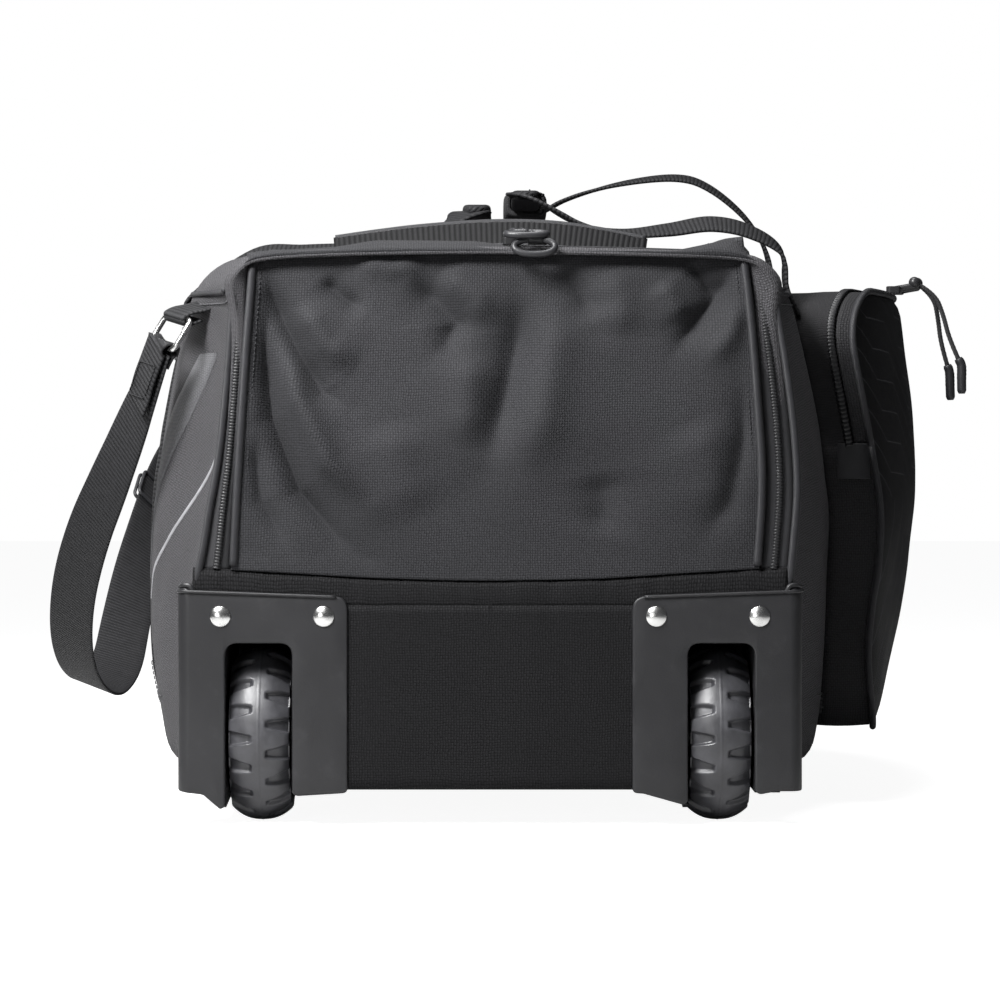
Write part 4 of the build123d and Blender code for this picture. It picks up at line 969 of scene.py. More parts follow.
def sag(x, y, z):
    """How far the filled cloth stands out of its smooth shape, in millimetres."""
    calm = step(8, 120, y) * (1 - 0.5 * step(760, 835, y)) * step(40, 90, z)
    if abs(x) < 60 and z > 300:
        calm *= 0.35 + 0.65 * step(20, 60, abs(x))
    broad = noise.noise(Vector((x * 0.004 + 3, y * 0.007, z * 0.006)))
    upright = noise.noise(Vector((x * 0.006, y * 0.026 + z * 0.006, z * 0.007 + 9)))
    slant = noise.noise(Vector((y * 0.022 + z * 0.016, z * 0.009 - y * 0.004, x * 0.004 + 5)))
    fine = noise.noise(Vector((x * 0.03, y * 0.05, z * 0.04 + 2)))
    return calm * (-1.2 + 3.2 * broad + 1.9 * upright + 1.6 * slant + 0.5 * fine)


# The wheel end's outer piping as the filled cloth lies: (z, x) down each side
LEFT_BORDER = [(152, -185.5), (172, -181), (200, -176), (232, -171), (270, -167), (310, -164), (343, -162)]
RIGHT_BORDER = [(152, 188.5), (172, 190), (212, 192), (250, 190.5), (288, 187), (320, 182.5), (345, 178)]
HALF_EDGE = [(120, 188), (210, 188), (270, 186), (322, 181), (345, 171)]


def build_surface():
    rows = []
    for i in range(ROWS):
        y = i * ROW_PITCH
        half = half_section(y)
        loop = half + [(-x, z) for x, z in reversed(half[1:-1])]
        rows.append([Vector((x, y, z)) for x, z in loop])
    for row in rows:
        y = row[0].y
        keep = step(0, 150, y)
        for p in row:
            if p.z < 120 or keep >= 1:
                continue
            border = LEFT_BORDER if p.x < 0 else RIGHT_BORDER
            target = abs(spread(border, min(p.z, 345))) + 0.6
            edge = spread(HALF_EDGE, p.z)
            pull = (target - edge) * (1 - keep) * step(120, 150, p.z)
            outer = step(95, 150, abs(p.x))
            p.x += (1 if p.x > 0 else -1) * pull * outer
    count = len(rows[0])
    normals = []
    for i in range(ROWS):
        line = []
        for j in range(count):
            along = rows[min(i + 1, ROWS - 1)][j] - rows[max(i - 1, 0)][j]
            around = rows[i][(j + 1) % count] - rows[i][j - 1]
            line.append(along.cross(around).normalized())
        normals.append(line)
    moved = [[p + n * sag(*p) for p, n in zip(row, line)] for row, line in zip(rows, normals)]
    return moved, normals


SURFACE, NORMALS = build_surface()
LOOP = len(SURFACE[0])
ROW_CACHE = {}


def row_at(y):
    """The surface's points and normals at y."""
    key = round(y, 1)
    if key not in ROW_CACHE:
        at = min(max(key / ROW_PITCH, 0), ROWS - 1.0001)
        i = int(at)
        t = at - i
        points = [a.lerp(b, t) for a, b in zip(SURFACE[i], SURFACE[i + 1])]
        ups = [a.lerp(b, t).normalized() for a, b in zip(NORMALS[i], NORMALS[i + 1])]
        ROW_CACHE[key] = (points, ups)
    return ROW_CACHE[key]


def on_side(side, y, z, lift=0.0):
    """A point on the bag's side at y and z, and the surface's normal there."""
    points, ups = row_at(y)
    for k in range(4, HALF_STEPS):
        j = k if side > 0 else (LOOP - k) % LOOP
        j2 = k + 1 if side > 0 else (LOOP - k - 1) % LOOP
        a, b = points[j], points[j2]
        if a.z <= z <= b.z:
            t = (z - a.z) / max(b.z - a.z, 1e-6)
            up = ups[j].lerp(ups[j2], t).normalized()
            return a.lerp(b, t) + up * lift, up
    return points[HALF_STEPS] + ups[HALF_STEPS] * lift, ups[HALF_STEPS]


def on_top(x, y, lift=0.0):
    """A point on the bag's top at x and y, and the surface's normal there."""
    points, ups = row_at(y)
    side = 1 if x >= 0 else -1
    for k in range(HALF_STEPS, 30, -1):
        j = k if side > 0 else (LOOP - k) % LOOP
        j2 = k - 1 if side > 0 else (LOOP - k + 1) % LOOP
        a, b = points[j], points[j2]
        if abs(a.x) <= abs(x) <= abs(b.x):
            t = (abs(x) - abs(a.x)) / max(abs(b.x) - abs(a.x), 1e-6)
            up = ups[j].lerp(ups[j2], t).normalized()
            return a.lerp(b, t) + up * lift, up
    return points[HALF_STEPS] + ups[HALF_STEPS] * lift, ups[HALF_STEPS]


# The end panel's edges as the filled cloth lies: (z, x) down each side, and (x, z) along its top
LEFT_EDGE = [(150, -163.5), (200, -161), (250, -158), (300, -155), (345, -152), (365, -151)]
RIGHT_EDGE = [(150, 168), (168, 170), (218, 172.5), (272, 169.5), (327, 165), (350, 162.5), (372, 160)]
TOP_EDGE = [(-160, 358), (-151, 359.5), (-127, 361), (-99, 362.6), (-69, 367), (-11, 366.4), (11, 363.6),
            (40, 361), (57, 360.4), (120, 360.6), (135, 364), (150, 368.5), (165, 370)]
SEAM = [(-200, 163), (-120, 158.5), (-60, 155), (0, 153.6), (60, 154.6), (120, 158.5), (200, 163.5)]


def end_depth(x, z):
    """The end's smooth face: y at x and z. It stands out low down and leans back towards its top."""
    lean = spread([(20, 0.0), (140, -1.0), (200, -4.5), (240, -5.0), (290, -1.5), (335, 5.0), (361, 11.0),
                   (380, 14.0)], z)
    edge = 1 - step(0.80, 1.0, abs(x) / 172)
    return lean * (0.45 + 0.55 * edge) if z < 300 else lean * (0.62 + 0.38 * edge)


def build_shell():
    part = Part()
    rings = []
    maps = []
    hole = []
    for share in [k / 39 for k in range(40)]:
        hole.append((spread(LEFT_EDGE, 158 + share * 203) - 1, 158 + share * 203))
    hole += [(x, spread(TOP_EDGE, x) + 0.5) for x in range(-150, 161, 6)]
    hole += [(spread(RIGHT_EDGE, 361 - share * 203 / 39) + 1, 361 - share * 203 / 39) for share in range(40)]
    centre = Vector((4.0, 262.0))
    outer = [Vector((p.x, p.z)) for p in SURFACE[0]]

    def hole_point(direction):
        best = None
        for a, b in zip(hole, hole[1:] + hole[:1]):
            ax, az = a[0] - centre.x, a[1] - centre.y
            dx, dz = b[0] - a[0], b[1] - a[1]
            det = direction.x * dz - direction.y * dx
            if abs(det) < 1e-9:
                continue
            t = (ax * dz - az * dx) / det
            s = (ax * direction.y - az * direction.x) / det
            if t > 0 and -1e-6 <= s <= 1 + 1e-6:
                best = t if best is None else max(best, t)
        return centre + direction * (best or 1.0)

    inner = [hole_point((p - centre).normalized()) for p in outer]
    for share in (0.0, 0.3, 0.6, 0.85):
        ring = []
        for a, b in zip(inner, outer):
            target = b + (centre - b).normalized() * 5
            spot = a.lerp(target, share)
            depth = end_depth(spot.x, spot.y) * (1 - share) + 0.6
            ring.append(Vector((spot.x, max(depth, 0.4), spot.y)))
        rings.append(ring)
    for inset, y in ((5.0, 0.6), (2.6, 1.6), (0.9, 3.6)):
        rings.append([Vector((b.x, y, b.y)) - NORMALS[0][j] * inset for j, b in enumerate(outer)])
    for i in range(1, ROWS - 3):
        rings.append(SURFACE[i])
    last = SURFACE[ROWS - 3]
    for inset, y in ((1.0, 826), (3.5, 830.5), (8.0, 833.5), (14.0, 834.6)):
        ring = []
        for j, point in enumerate(last):
            spot = SURFACE[ROWS - 1][j] - NORMALS[ROWS - 3][j] * inset
            ring.append(Vector((spot.x, y, spot.z)))
        rings.append(ring)
    middle = Vector((0, 0, 200))
    outline = rings[-1]
    for share in (0.84, 0.66, 0.48, 0.3, 0.14, 0.02):
        ring = []
        for point in outline:
            spot = middle.lerp(Vector((point.x, 0, point.z)), share)
            dent = noise.noise(Vector((spot.x * 0.012, 7.0, spot.z * 0.012))) * 2.2
            ring.append(Vector((spot.x, 833.5 - 1.8 * (1 - share) + dent * (1 - share), spot.z)))
        rings.append(ring)
    for i, ring in enumerate(rings):
        spots = [0.0] * (LOOP + 1)
        for j in range(HALF_STEPS + 1, LOOP + 1):
            spots[j] = spots[j - 1] + (ring[j % LOOP] - ring[j - 1]).length
        for j in range(HALF_STEPS - 1, -1, -1):
            spots[j] = spots[j + 1] - (ring[j] - ring[j + 1]).length
        along = 0.0 if i == 0 else maps[-1][0][1] + (ring[HALF_STEPS] - rings[i - 1][HALF_STEPS]).length * MM
        maps.append([(u * MM, along) for u in spots])
    part.grid(rings, maps, wrap=True)
    part.cap((len(rings) - 1) * LOOP, LOOP)
    shell = part.make("bag_shell", "root", "black_canvas", CANVAS, ("body_shell",))
    bm = bmesh.new()
    bm.from_mesh(shell.data)
    half = 24.6

    def near_well(face):
        at = (face.calc_center_median() - ORIGIN) / MM
        return at.y < 150 and at.z < 170

    cuts = [((side * (HALF_TRACK + way * half), 0, 0), (1, 0, 0)) for side in (-1, 1) for way in (-1, 1)]
    cuts += [((0, 113.6, 0), (0, 1, 0)), ((0, 0, 127.6), (0, 0, 1))]
    for point, normal in cuts:
        faces = [f for f in bm.faces if near_well(f)]
        edges = {e for f in faces for e in f.edges}
        verts = {v for f in faces for v in f.verts}
        bmesh.ops.bisect_plane(bm, geom=[*verts, *edges, *faces], plane_co=place(point), plane_no=normal)
    gone = []
    for face in bm.faces:
        at = (face.calc_center_median() - ORIGIN) / MM
        if abs(abs(at.x) - HALF_TRACK) < half and at.y < 113.6 and at.z < 127.6:
            gone.append(face)
    bmesh.ops.delete(bm, geom=gone, context="FACES")
    bm.to_mesh(shell.data)
    bm.free()
    for polygon in shell.data.polygons:
        polygon.use_smooth = True
    shell.data.materials.append(LINING)
    wall = shell.modifiers.new("wall", "SOLIDIFY")
    wall.thickness = 2.2 * MM
    wall.offset = -1
    wall.material_offset = 1
    return shell


build_shell()


# ------------------------------------------------------------------ the wheel end

# Folds in the end panel: (x, z) along each, depth into the bag and half-width
FOLDS = [
    ([(-144, 331), (-142, 300), (-137, 256), (-120, 211), (-97, 183), (-79, 167)], 6.5, 9),
    ([(-144, 351), (-132, 322), (-120, 296), (-106, 273), (-88, 262)], 5.5, 9),
    ([(-130, 312), (-120, 268), (-101, 229), (-74, 202)], -4.5, 11),
    ([(-120, 331), (-103, 303), (-81, 288)], -3.0, 11),
    ([(-108, 346), (-94, 334), (-77, 322)], 3.2, 8),
    ([(-87, 355), (-62, 351), (-38, 355)], -2.2, 11),
    ([(-54, 344), (-34, 331), (-21, 317), (-28, 303), (-38, 293)], 3.8, 12),
    ([(-32, 350), (-8, 332), (-5, 312)], -2.4, 14),
    ([(20, 337), (18, 306), (11, 273), (3, 243), (-3, 225)], 6.0, 17),
    ([(-13, 300), (-13, 262), (-18, 237)], -2.5, 18),
    ([(44, 337), (39, 300), (32, 256), (21, 218)], -4.5, 24),
    ([(42, 355), (57, 336), (67, 315)], 3.2, 13),
    ([(73, 351), (83, 331), (82, 306)], -2.2, 16),
    ([(155, 351), (140, 329), (121, 305), (115, 296)], 4.2, 9),
    ([(160, 331), (151, 309), (136, 290)], -2.6, 10),
    ([(126, 355), (136, 342), (142, 331)], 3.0, 8),
    ([(107, 344), (117, 327), (122, 317)], -2.4, 11),
    ([(69, 224), (72, 202), (67, 180)], 2.2, 18),
    ([(126, 256), (140, 224), (146, 192)], -2.0, 24),
    ([(163, 281), (160, 243), (150, 205), (132, 175)], 2.6, 12),
    ([(-63, 256), (-57, 224), (-44, 192)], -2.2, 26),
    ([(-151, 249), (-144, 205), (-126, 170)], 2.8, 8),
]


def fold_depth(x, z):
    """Depth of the drawn folds at x and z."""
    total = 0.0
    for line, depth, width in FOLDS:
        best = None
        lengths = [sqrt((b[0] - a[0])**2 + (b[1] - a[1])**2) for a, b in zip(line, line[1:])]
        whole = sum(lengths)
        run = 0.0
        for (a, b), length in zip(zip(line, line[1:]), lengths):
            t = min(max(((x - a[0]) * (b[0] - a[0]) + (z - a[1]) * (b[1] - a[1])) / length**2, 0), 1)
            d2 = (x - a[0] - t * (b[0] - a[0]))**2 + (z - a[1] - t * (b[1] - a[1]))**2
            if best is None or d2 < best[0]:
                best = (d2, (run + t * length) / whole)
            run += length
        if best[0] < (3.16 * width)**2:
            ends = step(0.0, 0.3, best[1]) * (1 - step(0.65, 1.0, best[1]))
            away = sqrt(best[0]) / width
            total += 2.3 * depth * (0.12 + 0.88 * ends) * (1 / (1 + 1.9 * away**2) - 0.05)
    return total


def cloth_noise(x, z):
    broad = noise.noise(Vector((x * 0.011, z * 0.013, 1.5)))
    small = noise.noise(Vector((x * 0.035 + z * 0.02, z * 0.03, 4.5)))
    return 1.3 * broad + 0.45 * small


def end_point(x, z, lift=0.0):
    """A point on the end panel, its folds included. lift is towards the camera."""
    left = spread(LEFT_EDGE, z)
    right = spread(RIGHT_EDGE, z)
    free = step(0, 14, x - left) * step(0, 14, right - x) * step(0, 16, z - spread(SEAM, x))
    free *= step(0, 10, spread(TOP_EDGE, x) + 4 - z)
    return Vector((x, end_depth(x, z) + free * (fold_depth(x, z) + cloth_noise(x, z)) - lift, z))


def build_flap():
    part = Part()
    columns, levels = 190, 150
    rows = []
    maps = []
    for i in range(levels + 1):
        row = []
        line = []
        for j in range(columns + 1):
            share = j / columns
            guess = -150 + 310 * share
            low = spread(SEAM, guess) + 1.0
            z = low + (spread(TOP_EDGE, guess) - low) * i / levels
            x = spread(LEFT_EDGE, z) + (spread(RIGHT_EDGE, z) - spread(LEFT_EDGE, z)) * share
            row.append(end_point(x, z))
            line.append((x * MM, z * MM))
        rows.append(row)
        maps.append(line)
    top = rows[-1]
    for drop, back in ((0.6, 2.0), (0.2, 4.5), (-0.2, 7.0)):
        row = []
        for point in top:
            y = min(point.y + back, 17.8)
            row.append(Vector((point.x, y, point.z + drop - 0.3)))
        rows.append(row)
        maps.append([(u, v + back * MM) for u, v in maps[levels]])
    part.grid(rows, maps, flip=True)
    flap = part.make("end_panel", "flap", "black_canvas", CANVAS, ("end_flap",), out=False, ride=False)
    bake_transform(flap)
    flap.data.materials.append(LINING)
    wall = flap.modifiers.new("wall", "SOLIDIFY")
    wall.thickness = 2.0 * MM
    wall.offset = -1
    wall.material_offset = 1
    return flap


def side_line(edge, low, high, offset, lift, count=60):
    """A line beside the end panel's edge, from the seam up."""
    line = []
    for k in range(count + 1):
        z = low + (high - low) * k / count
        x = spread(edge, z) + offset
        line.append(Vector((x, end_depth(x, z) - lift, z)))
    return line


def build_end_trim():
    inner = Part()
    for edge, side, top in ((LEFT_EDGE, -1, 351), (RIGHT_EDGE, 1, 356)):
        line = side_line(edge, 164, top, -side * 1.5, 2.5)
        corner = line[-1]
        turned = [corner + Vector((-side * 2, 3, 5)), corner + Vector((-side * 9, 9, 8.5))]
        line += curve([corner, *turned], 5)[1:]
        scales = [1 + 0.04 * noise.noise(Vector((0, side * 3, k * 0.4))) for k in range(len(line))]
        inner.tube(line, 2.6, 14, scales=scales)
        flange = [p + Vector((-side * 5.5, 1.6, 0)) for p in line[:-4]]
        inner.stitches(flange, [Vector((0, -1, 0))] * len(flange), 3.3, 2.2, 0.35)
    edging = inner.make("end_panel_piping", "flap", "piping", PIPING, ("flap_piping",), ride=False)
    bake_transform(edging)

    outer = Part()
    left = [Vector(p) for p in ((-185.5, -1.5, 152), (-181, -2.2, 172), (-176.5, -1.8, 200), (-171, 0, 232),
                                (-167, 3.0, 270), (-164, 6, 310), (-162.5, 9, 343))]
    right = [Vector(p) for p in ((188.5, -1.5, 152), (190.5, -2.5, 172), (193.5, -1.5, 212), (191.5, 0, 250),
                                 (187, 2.0, 288), (182, 4.5, 320), (178.5, 7.0, 345))]
    for line in (left, right):
        outer.tube(curve(line, 8), 2.5, 14)
    outer.make("end_edge_piping", "root", "piping", PIPING, ("end_piping",))

    zips = Part()
    coils = Part()
    for edge, outside, side in ((LEFT_EDGE, left, -1), (RIGHT_EDGE, right, 1)):
        border = [(p.z, p.x) for p in outside]
        rows = []
        for k in range(61):
            z = 161 + (342 - 161) * k / 60
            near = spread(edge, z) + side * 1.2
            far = spread(border, z) - side * 1.5
            back = spread([(p.z, p.y) for p in outside], z)
            row = []
            for share in (0, 0.25, 0.5, 0.75, 1.0):
                x = near + (far - near) * share
                y = (end_depth(near, z) + 0.8) * (1 - share) + (back + 1.2) * share
                row.append(Vector((x, y - 0.5 * sin(pi * share), z)))
            rows.append(row)
        zips.grid(rows, flip=side > 0)
        middle = []
        for k in range(730):
            z = 162 + (341 - 162) * k / 729
            i = min(int((z - 161) / (342 - 161) * 60), 59)
            a, b = rows[i][2], rows[i + 1][2]
            p = a.lerp(b, (z - a.z) / (b.z - a.z))
            middle.append(Vector((p.x - side * 0.6, p.y - 1.3, z)))
        teeth = [0.72 + 0.34 * (1 if k % 8 < 4 else 0) for k in range(len(middle))]
        coils.sweep(middle, strip_profile(4.4, 2.2, 2), [Vector((1, 0, 0))] * len(middle), scales=teeth)
    half = 140
    start = 19.4
    top_rows = []
    for k in range(71):
        x = -half + 2 * half * k / 70
        row = []
        for y in (start, start + 3, start + 6, start + 9):
            p, up = on_top(x, y, 1.3)
            row.append(p)
        top_rows.append(row)
    zips.grid(top_rows)
    zips.make("end_zip_tape", "root", "zip_tape", TAPE, ("end_zip",), solid=0.8, out=True)
    coils.make("end_zip_coil", "root", "zip_tape", COIL)

    tape = Part()
    rows = []
    for k in range(71):
        x = -half + 2 * half * k / 70
        z = spread(TOP_EDGE, x) + 0.8
        rows.append([Vector((x, y, max(z, 361.9))) for y in (9.5, 12, 15, 17.9)])
    tape.grid(rows)
    row = []
    for k in range(1200):
        x = -half + 2 * half * k / 1199
        row.append(Vector((x, 18.0, max(spread(TOP_EDGE, x) + 0.8, 361.9) + 1.1)))
    tape.sweep(row, strip_profile(3.6, 1.8, 2), [Vector((0, 1, 0))] * len(row),
               scales=[0.72 + 0.34 * (1 if k % 8 < 4 else 0) for k in range(len(row))])
    tape.make("end_panel_tape", "flap", "zip_tape", TAPE, ("flap_tape",), solid=0.7)


def build_wrap():
    """The bottom wrap panel, which turns under the bag, and its topstitched seam."""
    part = Part()
    limit = 118.0
    columns = 96
    rows = []
    levels = [30 + (118 - 30) * k / 22 for k in range(23)]
    upper = [122, 128, 134, 139]

    def front(x, z):
        wave = 0.9 * noise.noise(Vector((x * 0.02, z * 0.012, 8.0)))
        pucker = 0.0
        if z > 120:
            pucker = 0.5 * noise.noise(Vector((x * 0.12, z * 0.03, 2.0))) * step(120, 150, z)
        return Vector((x, -2.2 - abs(wave) * step(30, 60, z) + pucker, z))

    for y in (128, 100, 70, 40, 18, 8, 3):
        rows.append([Vector((-limit + 2 * limit * j / columns, y, 24)) for j in range(columns + 1)])
    rows.append([Vector((-limit + 2 * limit * j / columns, -0.4, 24.4)) for j in range(columns + 1)])
    rows.append([Vector((-limit + 2 * limit * j / columns, -1.8, 26.4)) for j in range(columns + 1)])
    for z in levels + upper:
        rows.append([front(-limit + 2 * limit * j / columns, z) for j in range(columns + 1)])
    part.grid(rows, flip=True)
    wide = 187.0
    rows = []
    for k in range(9):
        share = k / 8
        row = []
        for j in range(151):
            x = -wide + 2 * wide * j / 150
            z = 139 + (spread(SEAM, x) - 0.4 - 139) * share
            roll = 2.2 * step(0.88, 1.0, share)
            p = front(x, z)
            row.append(Vector((x, p.y - 0.5 * sin(pi * min(share * 1.3, 1)) + roll, z)))
        rows.append(row)
    part.grid(rows, flip=True)
    # The wrap's canvas is painted darker than the rest of the bag: painted shade.
    part.make("wrap_panel", "root", "black_canvas", SHADED_WRAP_CANVAS, ("base_wrap",), solid=1.6, out=False)
    seam = Part()
    line = [front(x, spread(SEAM, x) - 5) - Vector((0, 0.5, 0)) for x in range(-180, 184, 6)]
    seam.stitches(line, [Vector((0, -1, 0))] * len(line), 3.3, 2.3, 0.42)
    seam.make("wrap_topstitch", "root", "black_canvas", THREAD)


build_flap()
build_end_trim()
build_wrap()


# ------------------------------------------------------------------ wheel housings and wheels

def bend_corner(s, depth, z, side):
    """A moulded plate laid flat as (s, depth, z), bent round the bag's corner."""
    radius = 8.0
    flat_end = HOUSING_OUTER - radius
    front = -6.0
    if s <= flat_end:
        return Vector((side * s, front + depth, z))
    turn = (s - flat_end) / radius
    if turn <= pi / 2:
        r = radius - depth
        return Vector((side * (flat_end + r * sin(turn)), front + radius - r * cos(turn), z))
    return Vector((side * (HOUSING_OUTER - depth), front + radius + (turn - pi / 2) * radius, z))


def build_housing(side):
    name = "left" if side < 0 else "right"
    inner = HOUSING_INNER
    slot_in = HALF_TRACK - 21
    slot_out = HALF_TRACK + 21
    last = HOUSING_OUTER - 8 + 4 * pi + 26
    dip_out, dip_in = (10.5, 19.0) if side < 0 else (19.5, 13.5)
    outline = rounded_outline([
        (inner, 21, 5), (inner, 144.5, 9), (HOUSING_OUTER - 9, 148, 4), (HOUSING_OUTER - 5, 150, 3),
        (last, 150, 5), (last, 27, 6), (HOUSING_OUTER + 4, 22, 8), (slot_out + 14, 22 if side > 0 else 20, 6),
        (slot_out + 3, dip_out if side < 0 else 20, 5), (slot_out, dip_out + 2 if side < 0 else 22, 2),
        (slot_out, 115, 8), (slot_in, 115, 8), (slot_in, dip_in + 2, 2),
        (slot_in - 3, dip_in, 4), (slot_in - 28, 20.5, 8),
    ], 7)
    bm = bmesh.new()
    face = bm.faces.new([bm.verts.new((s, 0, z)) for s, z in outline])
    made = bmesh.ops.extrude_face_region(bm, geom=[face])
    back = [v for v in made["geom"] if isinstance(v, bmesh.types.BMVert)]
    bmesh.ops.translate(bm, verts=back, vec=(0, 4.0, 0))
    rim = [e for e in bm.edges if all(abs(v.co.y) < 1e-6 for v in e.verts)]
    bmesh.ops.bevel(bm, geom=rim, offset=1.3, segments=3, profile=0.5, affect="EDGES")
    for k in range(1, 13):
        s = HOUSING_OUTER - 8 + (4 * pi) * k / 12
        bmesh.ops.bisect_plane(bm, geom=bm.verts[:] + bm.edges[:] + bm.faces[:], plane_co=(s, 0, 0),
                               plane_no=(1, 0, 0))
    for s in (100, 112, 124, 168, 176, HOUSING_OUTER - 8):
        bmesh.ops.bisect_plane(bm, geom=bm.verts[:] + bm.edges[:] + bm.faces[:], plane_co=(s, 0, 0),
                               plane_no=(1, 0, 0))
    for z in (40, 60, 78.6, 79.4, 100, 122, 140):
        bmesh.ops.bisect_plane(bm, geom=bm.verts[:] + bm.edges[:] + bm.faces[:], plane_co=(0, 0, z),
                               plane_no=(0, 0, 1))
    for vert in bm.verts:
        s, depth, z = vert.co
        if depth < 0.05 and 78.0 < z < 80.0:
            depth += 0.22
        vert.co = place(bend_corner(s, depth, z, side))
    bmesh.ops.recalc_face_normals(bm, faces=bm.faces)
    mesh = bpy.data.meshes.new("housing_plate_" + name)
    bm.to_mesh(mesh)
    bm.free()
    box_map(mesh)
    mesh.materials.append(HOUSING)
    node = "wheel_housing_" + name
    finish_piece(mesh, "housing_plate_" + name, "root", (node,), sharp=35)
    cad_copy(node, "housing_well_" + name, "root", HOUSING, 0.7,
             [((0, -1.6, 0), (0, -1, 0)), ((side * (HOUSING_OUTER - 4), 0, 0), (side, 0, 0))])
    # Rib along the plate's top edge, with the small lip at its outer corner
    rib = Part()
    line = [bend_corner(s, -0.3, 144.2 + (s - 96) * 0.036, side) for s in
            [97 + k * 3.0 for k in range(30)] + [HOUSING_OUTER - 8 + k for k in range(0, 14)]]
    rib.tube(line, 1.1, 10)
    lip = [bend_corner(HOUSING_OUTER + beyond, 1.2, z, side)
           for beyond, z in ((-10, 147.5), (-8, 151), (-3, 151.6), (2, 150.5))]
    rib.tube(curve(lip, 5), 1.7, 10)
    rib.make("housing_rib_" + name, "root", "housing_plastic", HOUSING)


def build_rivets():
    part = Part()
    for side in (-1, 1):
        for x in RIVET_X:
            outline = [(0.05, 6.7), (-0.5, 6.6), (-0.9, 6.2), (-1.5, 5.2),
                       (-2.1, 3.8), (-2.5, 2.2), (-2.65, 0.9), (-2.7, 0.02)]
            part.lathe((side * x, -6.0, RIVET_Z), (0, 1, 0), outline, 40)
            tail = [(-1.0, 2.2), (14.0, 2.2), (14.0, 3.4), (15.6, 3.0), (15.8, 0.02)]
            part.lathe((side * x, -6.0, RIVET_Z), (0, 1, 0), tail, 24)
    part.make("rivets_domed", "root", "bright_steel", BRIGHT, ("housing_rivets",), sharp=50)


def groove_depth(turn, a):
    """Depth of the tread at an angle round the tyre and a distance across it."""
    count = 18
    side = 1 if a > 0 else -1
    phase = turn / (2 * pi) * count + (0.5 if side < 0 else 0.0)
    across = abs(a)
    off = (phase - floor(phase) - 0.5) * (2 * pi * WHEEL_RADIUS / count)
    reach = step(3.6, 6.0, across)
    half = 2.3 + 3.1 * min(max((across - 5) / 14, 0), 1)
    wall = 1 - step(half - 0.8, half + 0.5, abs(off))
    return 3.2 * wall * reach


def build_tyre(side):
    name = "left" if side < 0 else "right"
    part = Part()
    around = 540
    crown = []
    for k in range(53):
        a = -19 + 38 * k / 52
        radius = WHEEL_RADIUS - 7.5 * abs(a / 19)**2.4
        crown.append((a, radius))
    sides = [(19.2, 45.2), (19.0, 43.0), (18.0, 41.4), (16.4, 40.2), (16.0, 38.1)]
    outline = [(-a, r) for a, r in reversed(sides)] + crown + sides
    rows = []
    for k in range(around):
        turn = 2 * pi * k / around
        ring = []
        for a, radius in outline:
            r = radius
            if abs(a) <= 19.0 and radius > 46:
                r -= groove_depth(turn, a) * (1.0 if abs(a) < 18.5 else 0.7)
                if abs(a) < 0.5:
                    r += 0.25
            spot = (side * HALF_TRACK + a, WHEEL_Y - r * cos(turn), WHEEL_RADIUS + r * sin(turn))
            ring.append(Vector(spot))
        rows.append(ring)
    rows.append(rows[0])
    part.grid(rows)
    part.make("tread_" + name, "wheel_" + name, "tyre", TYRE, ("tyre_" + name,), sharp=60)


for way in (-1, 1):
    build_housing(way)
    build_tyre(way)
build_rivets()


# ------------------------------------------------------------------ webbing, handles and rings

# Sewn-down webbing in cross-section: (place across it, height off the cloth)
WEB_SECTION = [
    (-19, 0.1), (-18.6, 1.3), (-14, 1.6), (-7, 1.7), (0, 1.7), (7, 1.7), (14, 1.6), (18.6, 1.3), (19, 0.1),
]


def build_sewn_webbing(side, legs_y):
    name = "left" if side < 0 else "right"
    part = Part()
    threads = Part()
    for y in legs_y:
        rows = []
        maps = []
        for k in range(61):
            z = 60 + (END_TOP - 16 - 60) * k / 60
            rows.append([on_side(side, y + s, z, lift)[0] for s, lift in WEB_SECTION])
            maps.append([(s * MM, 4.8 * k * MM) for s, _ in WEB_SECTION])
        part.grid(rows, maps)
        for low, high in ((64, 92), (300, 330)):
            corners = [(-14, low), (14, low), (14, high), (-14, high), (-14, low), (14, high)]
            path = []
            ups = []
            for (s0, z0), (s1, z1) in zip(corners, corners[1:]):
                for t in (0, 0.25, 0.5, 0.75):
                    p, up = on_side(side, y + s0 + (s1 - s0) * t, z0 + (z1 - z0) * t, 2.0)
                    path.append(p)
                    ups.append(up)
            threads.stitches(path, ups, 3.4, 2.4, 0.4)
    part.make("sewn_webbing_" + name, "root", "webbing", WEBBING, ("handle_webbing_" + name,))
    threads.make("webbing_stitches_" + name, "root", "webbing", THREAD)


LEFT_GRIP = (-10.0, 405.0)
RIGHT_GRIP = (24.0, 410.0)
HANDLE_X = 206.0
HANDLE_Z = 356.0
LEFT_LEGS_Y = (240.0, 500.0)
RIGHT_LEGS_Y = (175.0, 455.0)
LEFT_LEG = [(0, 0), (0.06, 12), (0.286, 25), (0.59, 32), (0.82, 40), (0.98, 48)]
RIGHT_NEAR_LEG = [
    (0, 0), (0.05, 16), (0.17, 30), (0.31, 35), (0.47, 31), (0.64, 29), (0.81, 36), (0.97, 52),
]
RIGHT_FAR_LEG = [
    (0, 0), (-0.015, 29), (0.07, 57), (0.225, 81), (0.37, 89), (0.61, 84), (0.83, 72), (0.98, 55),
]


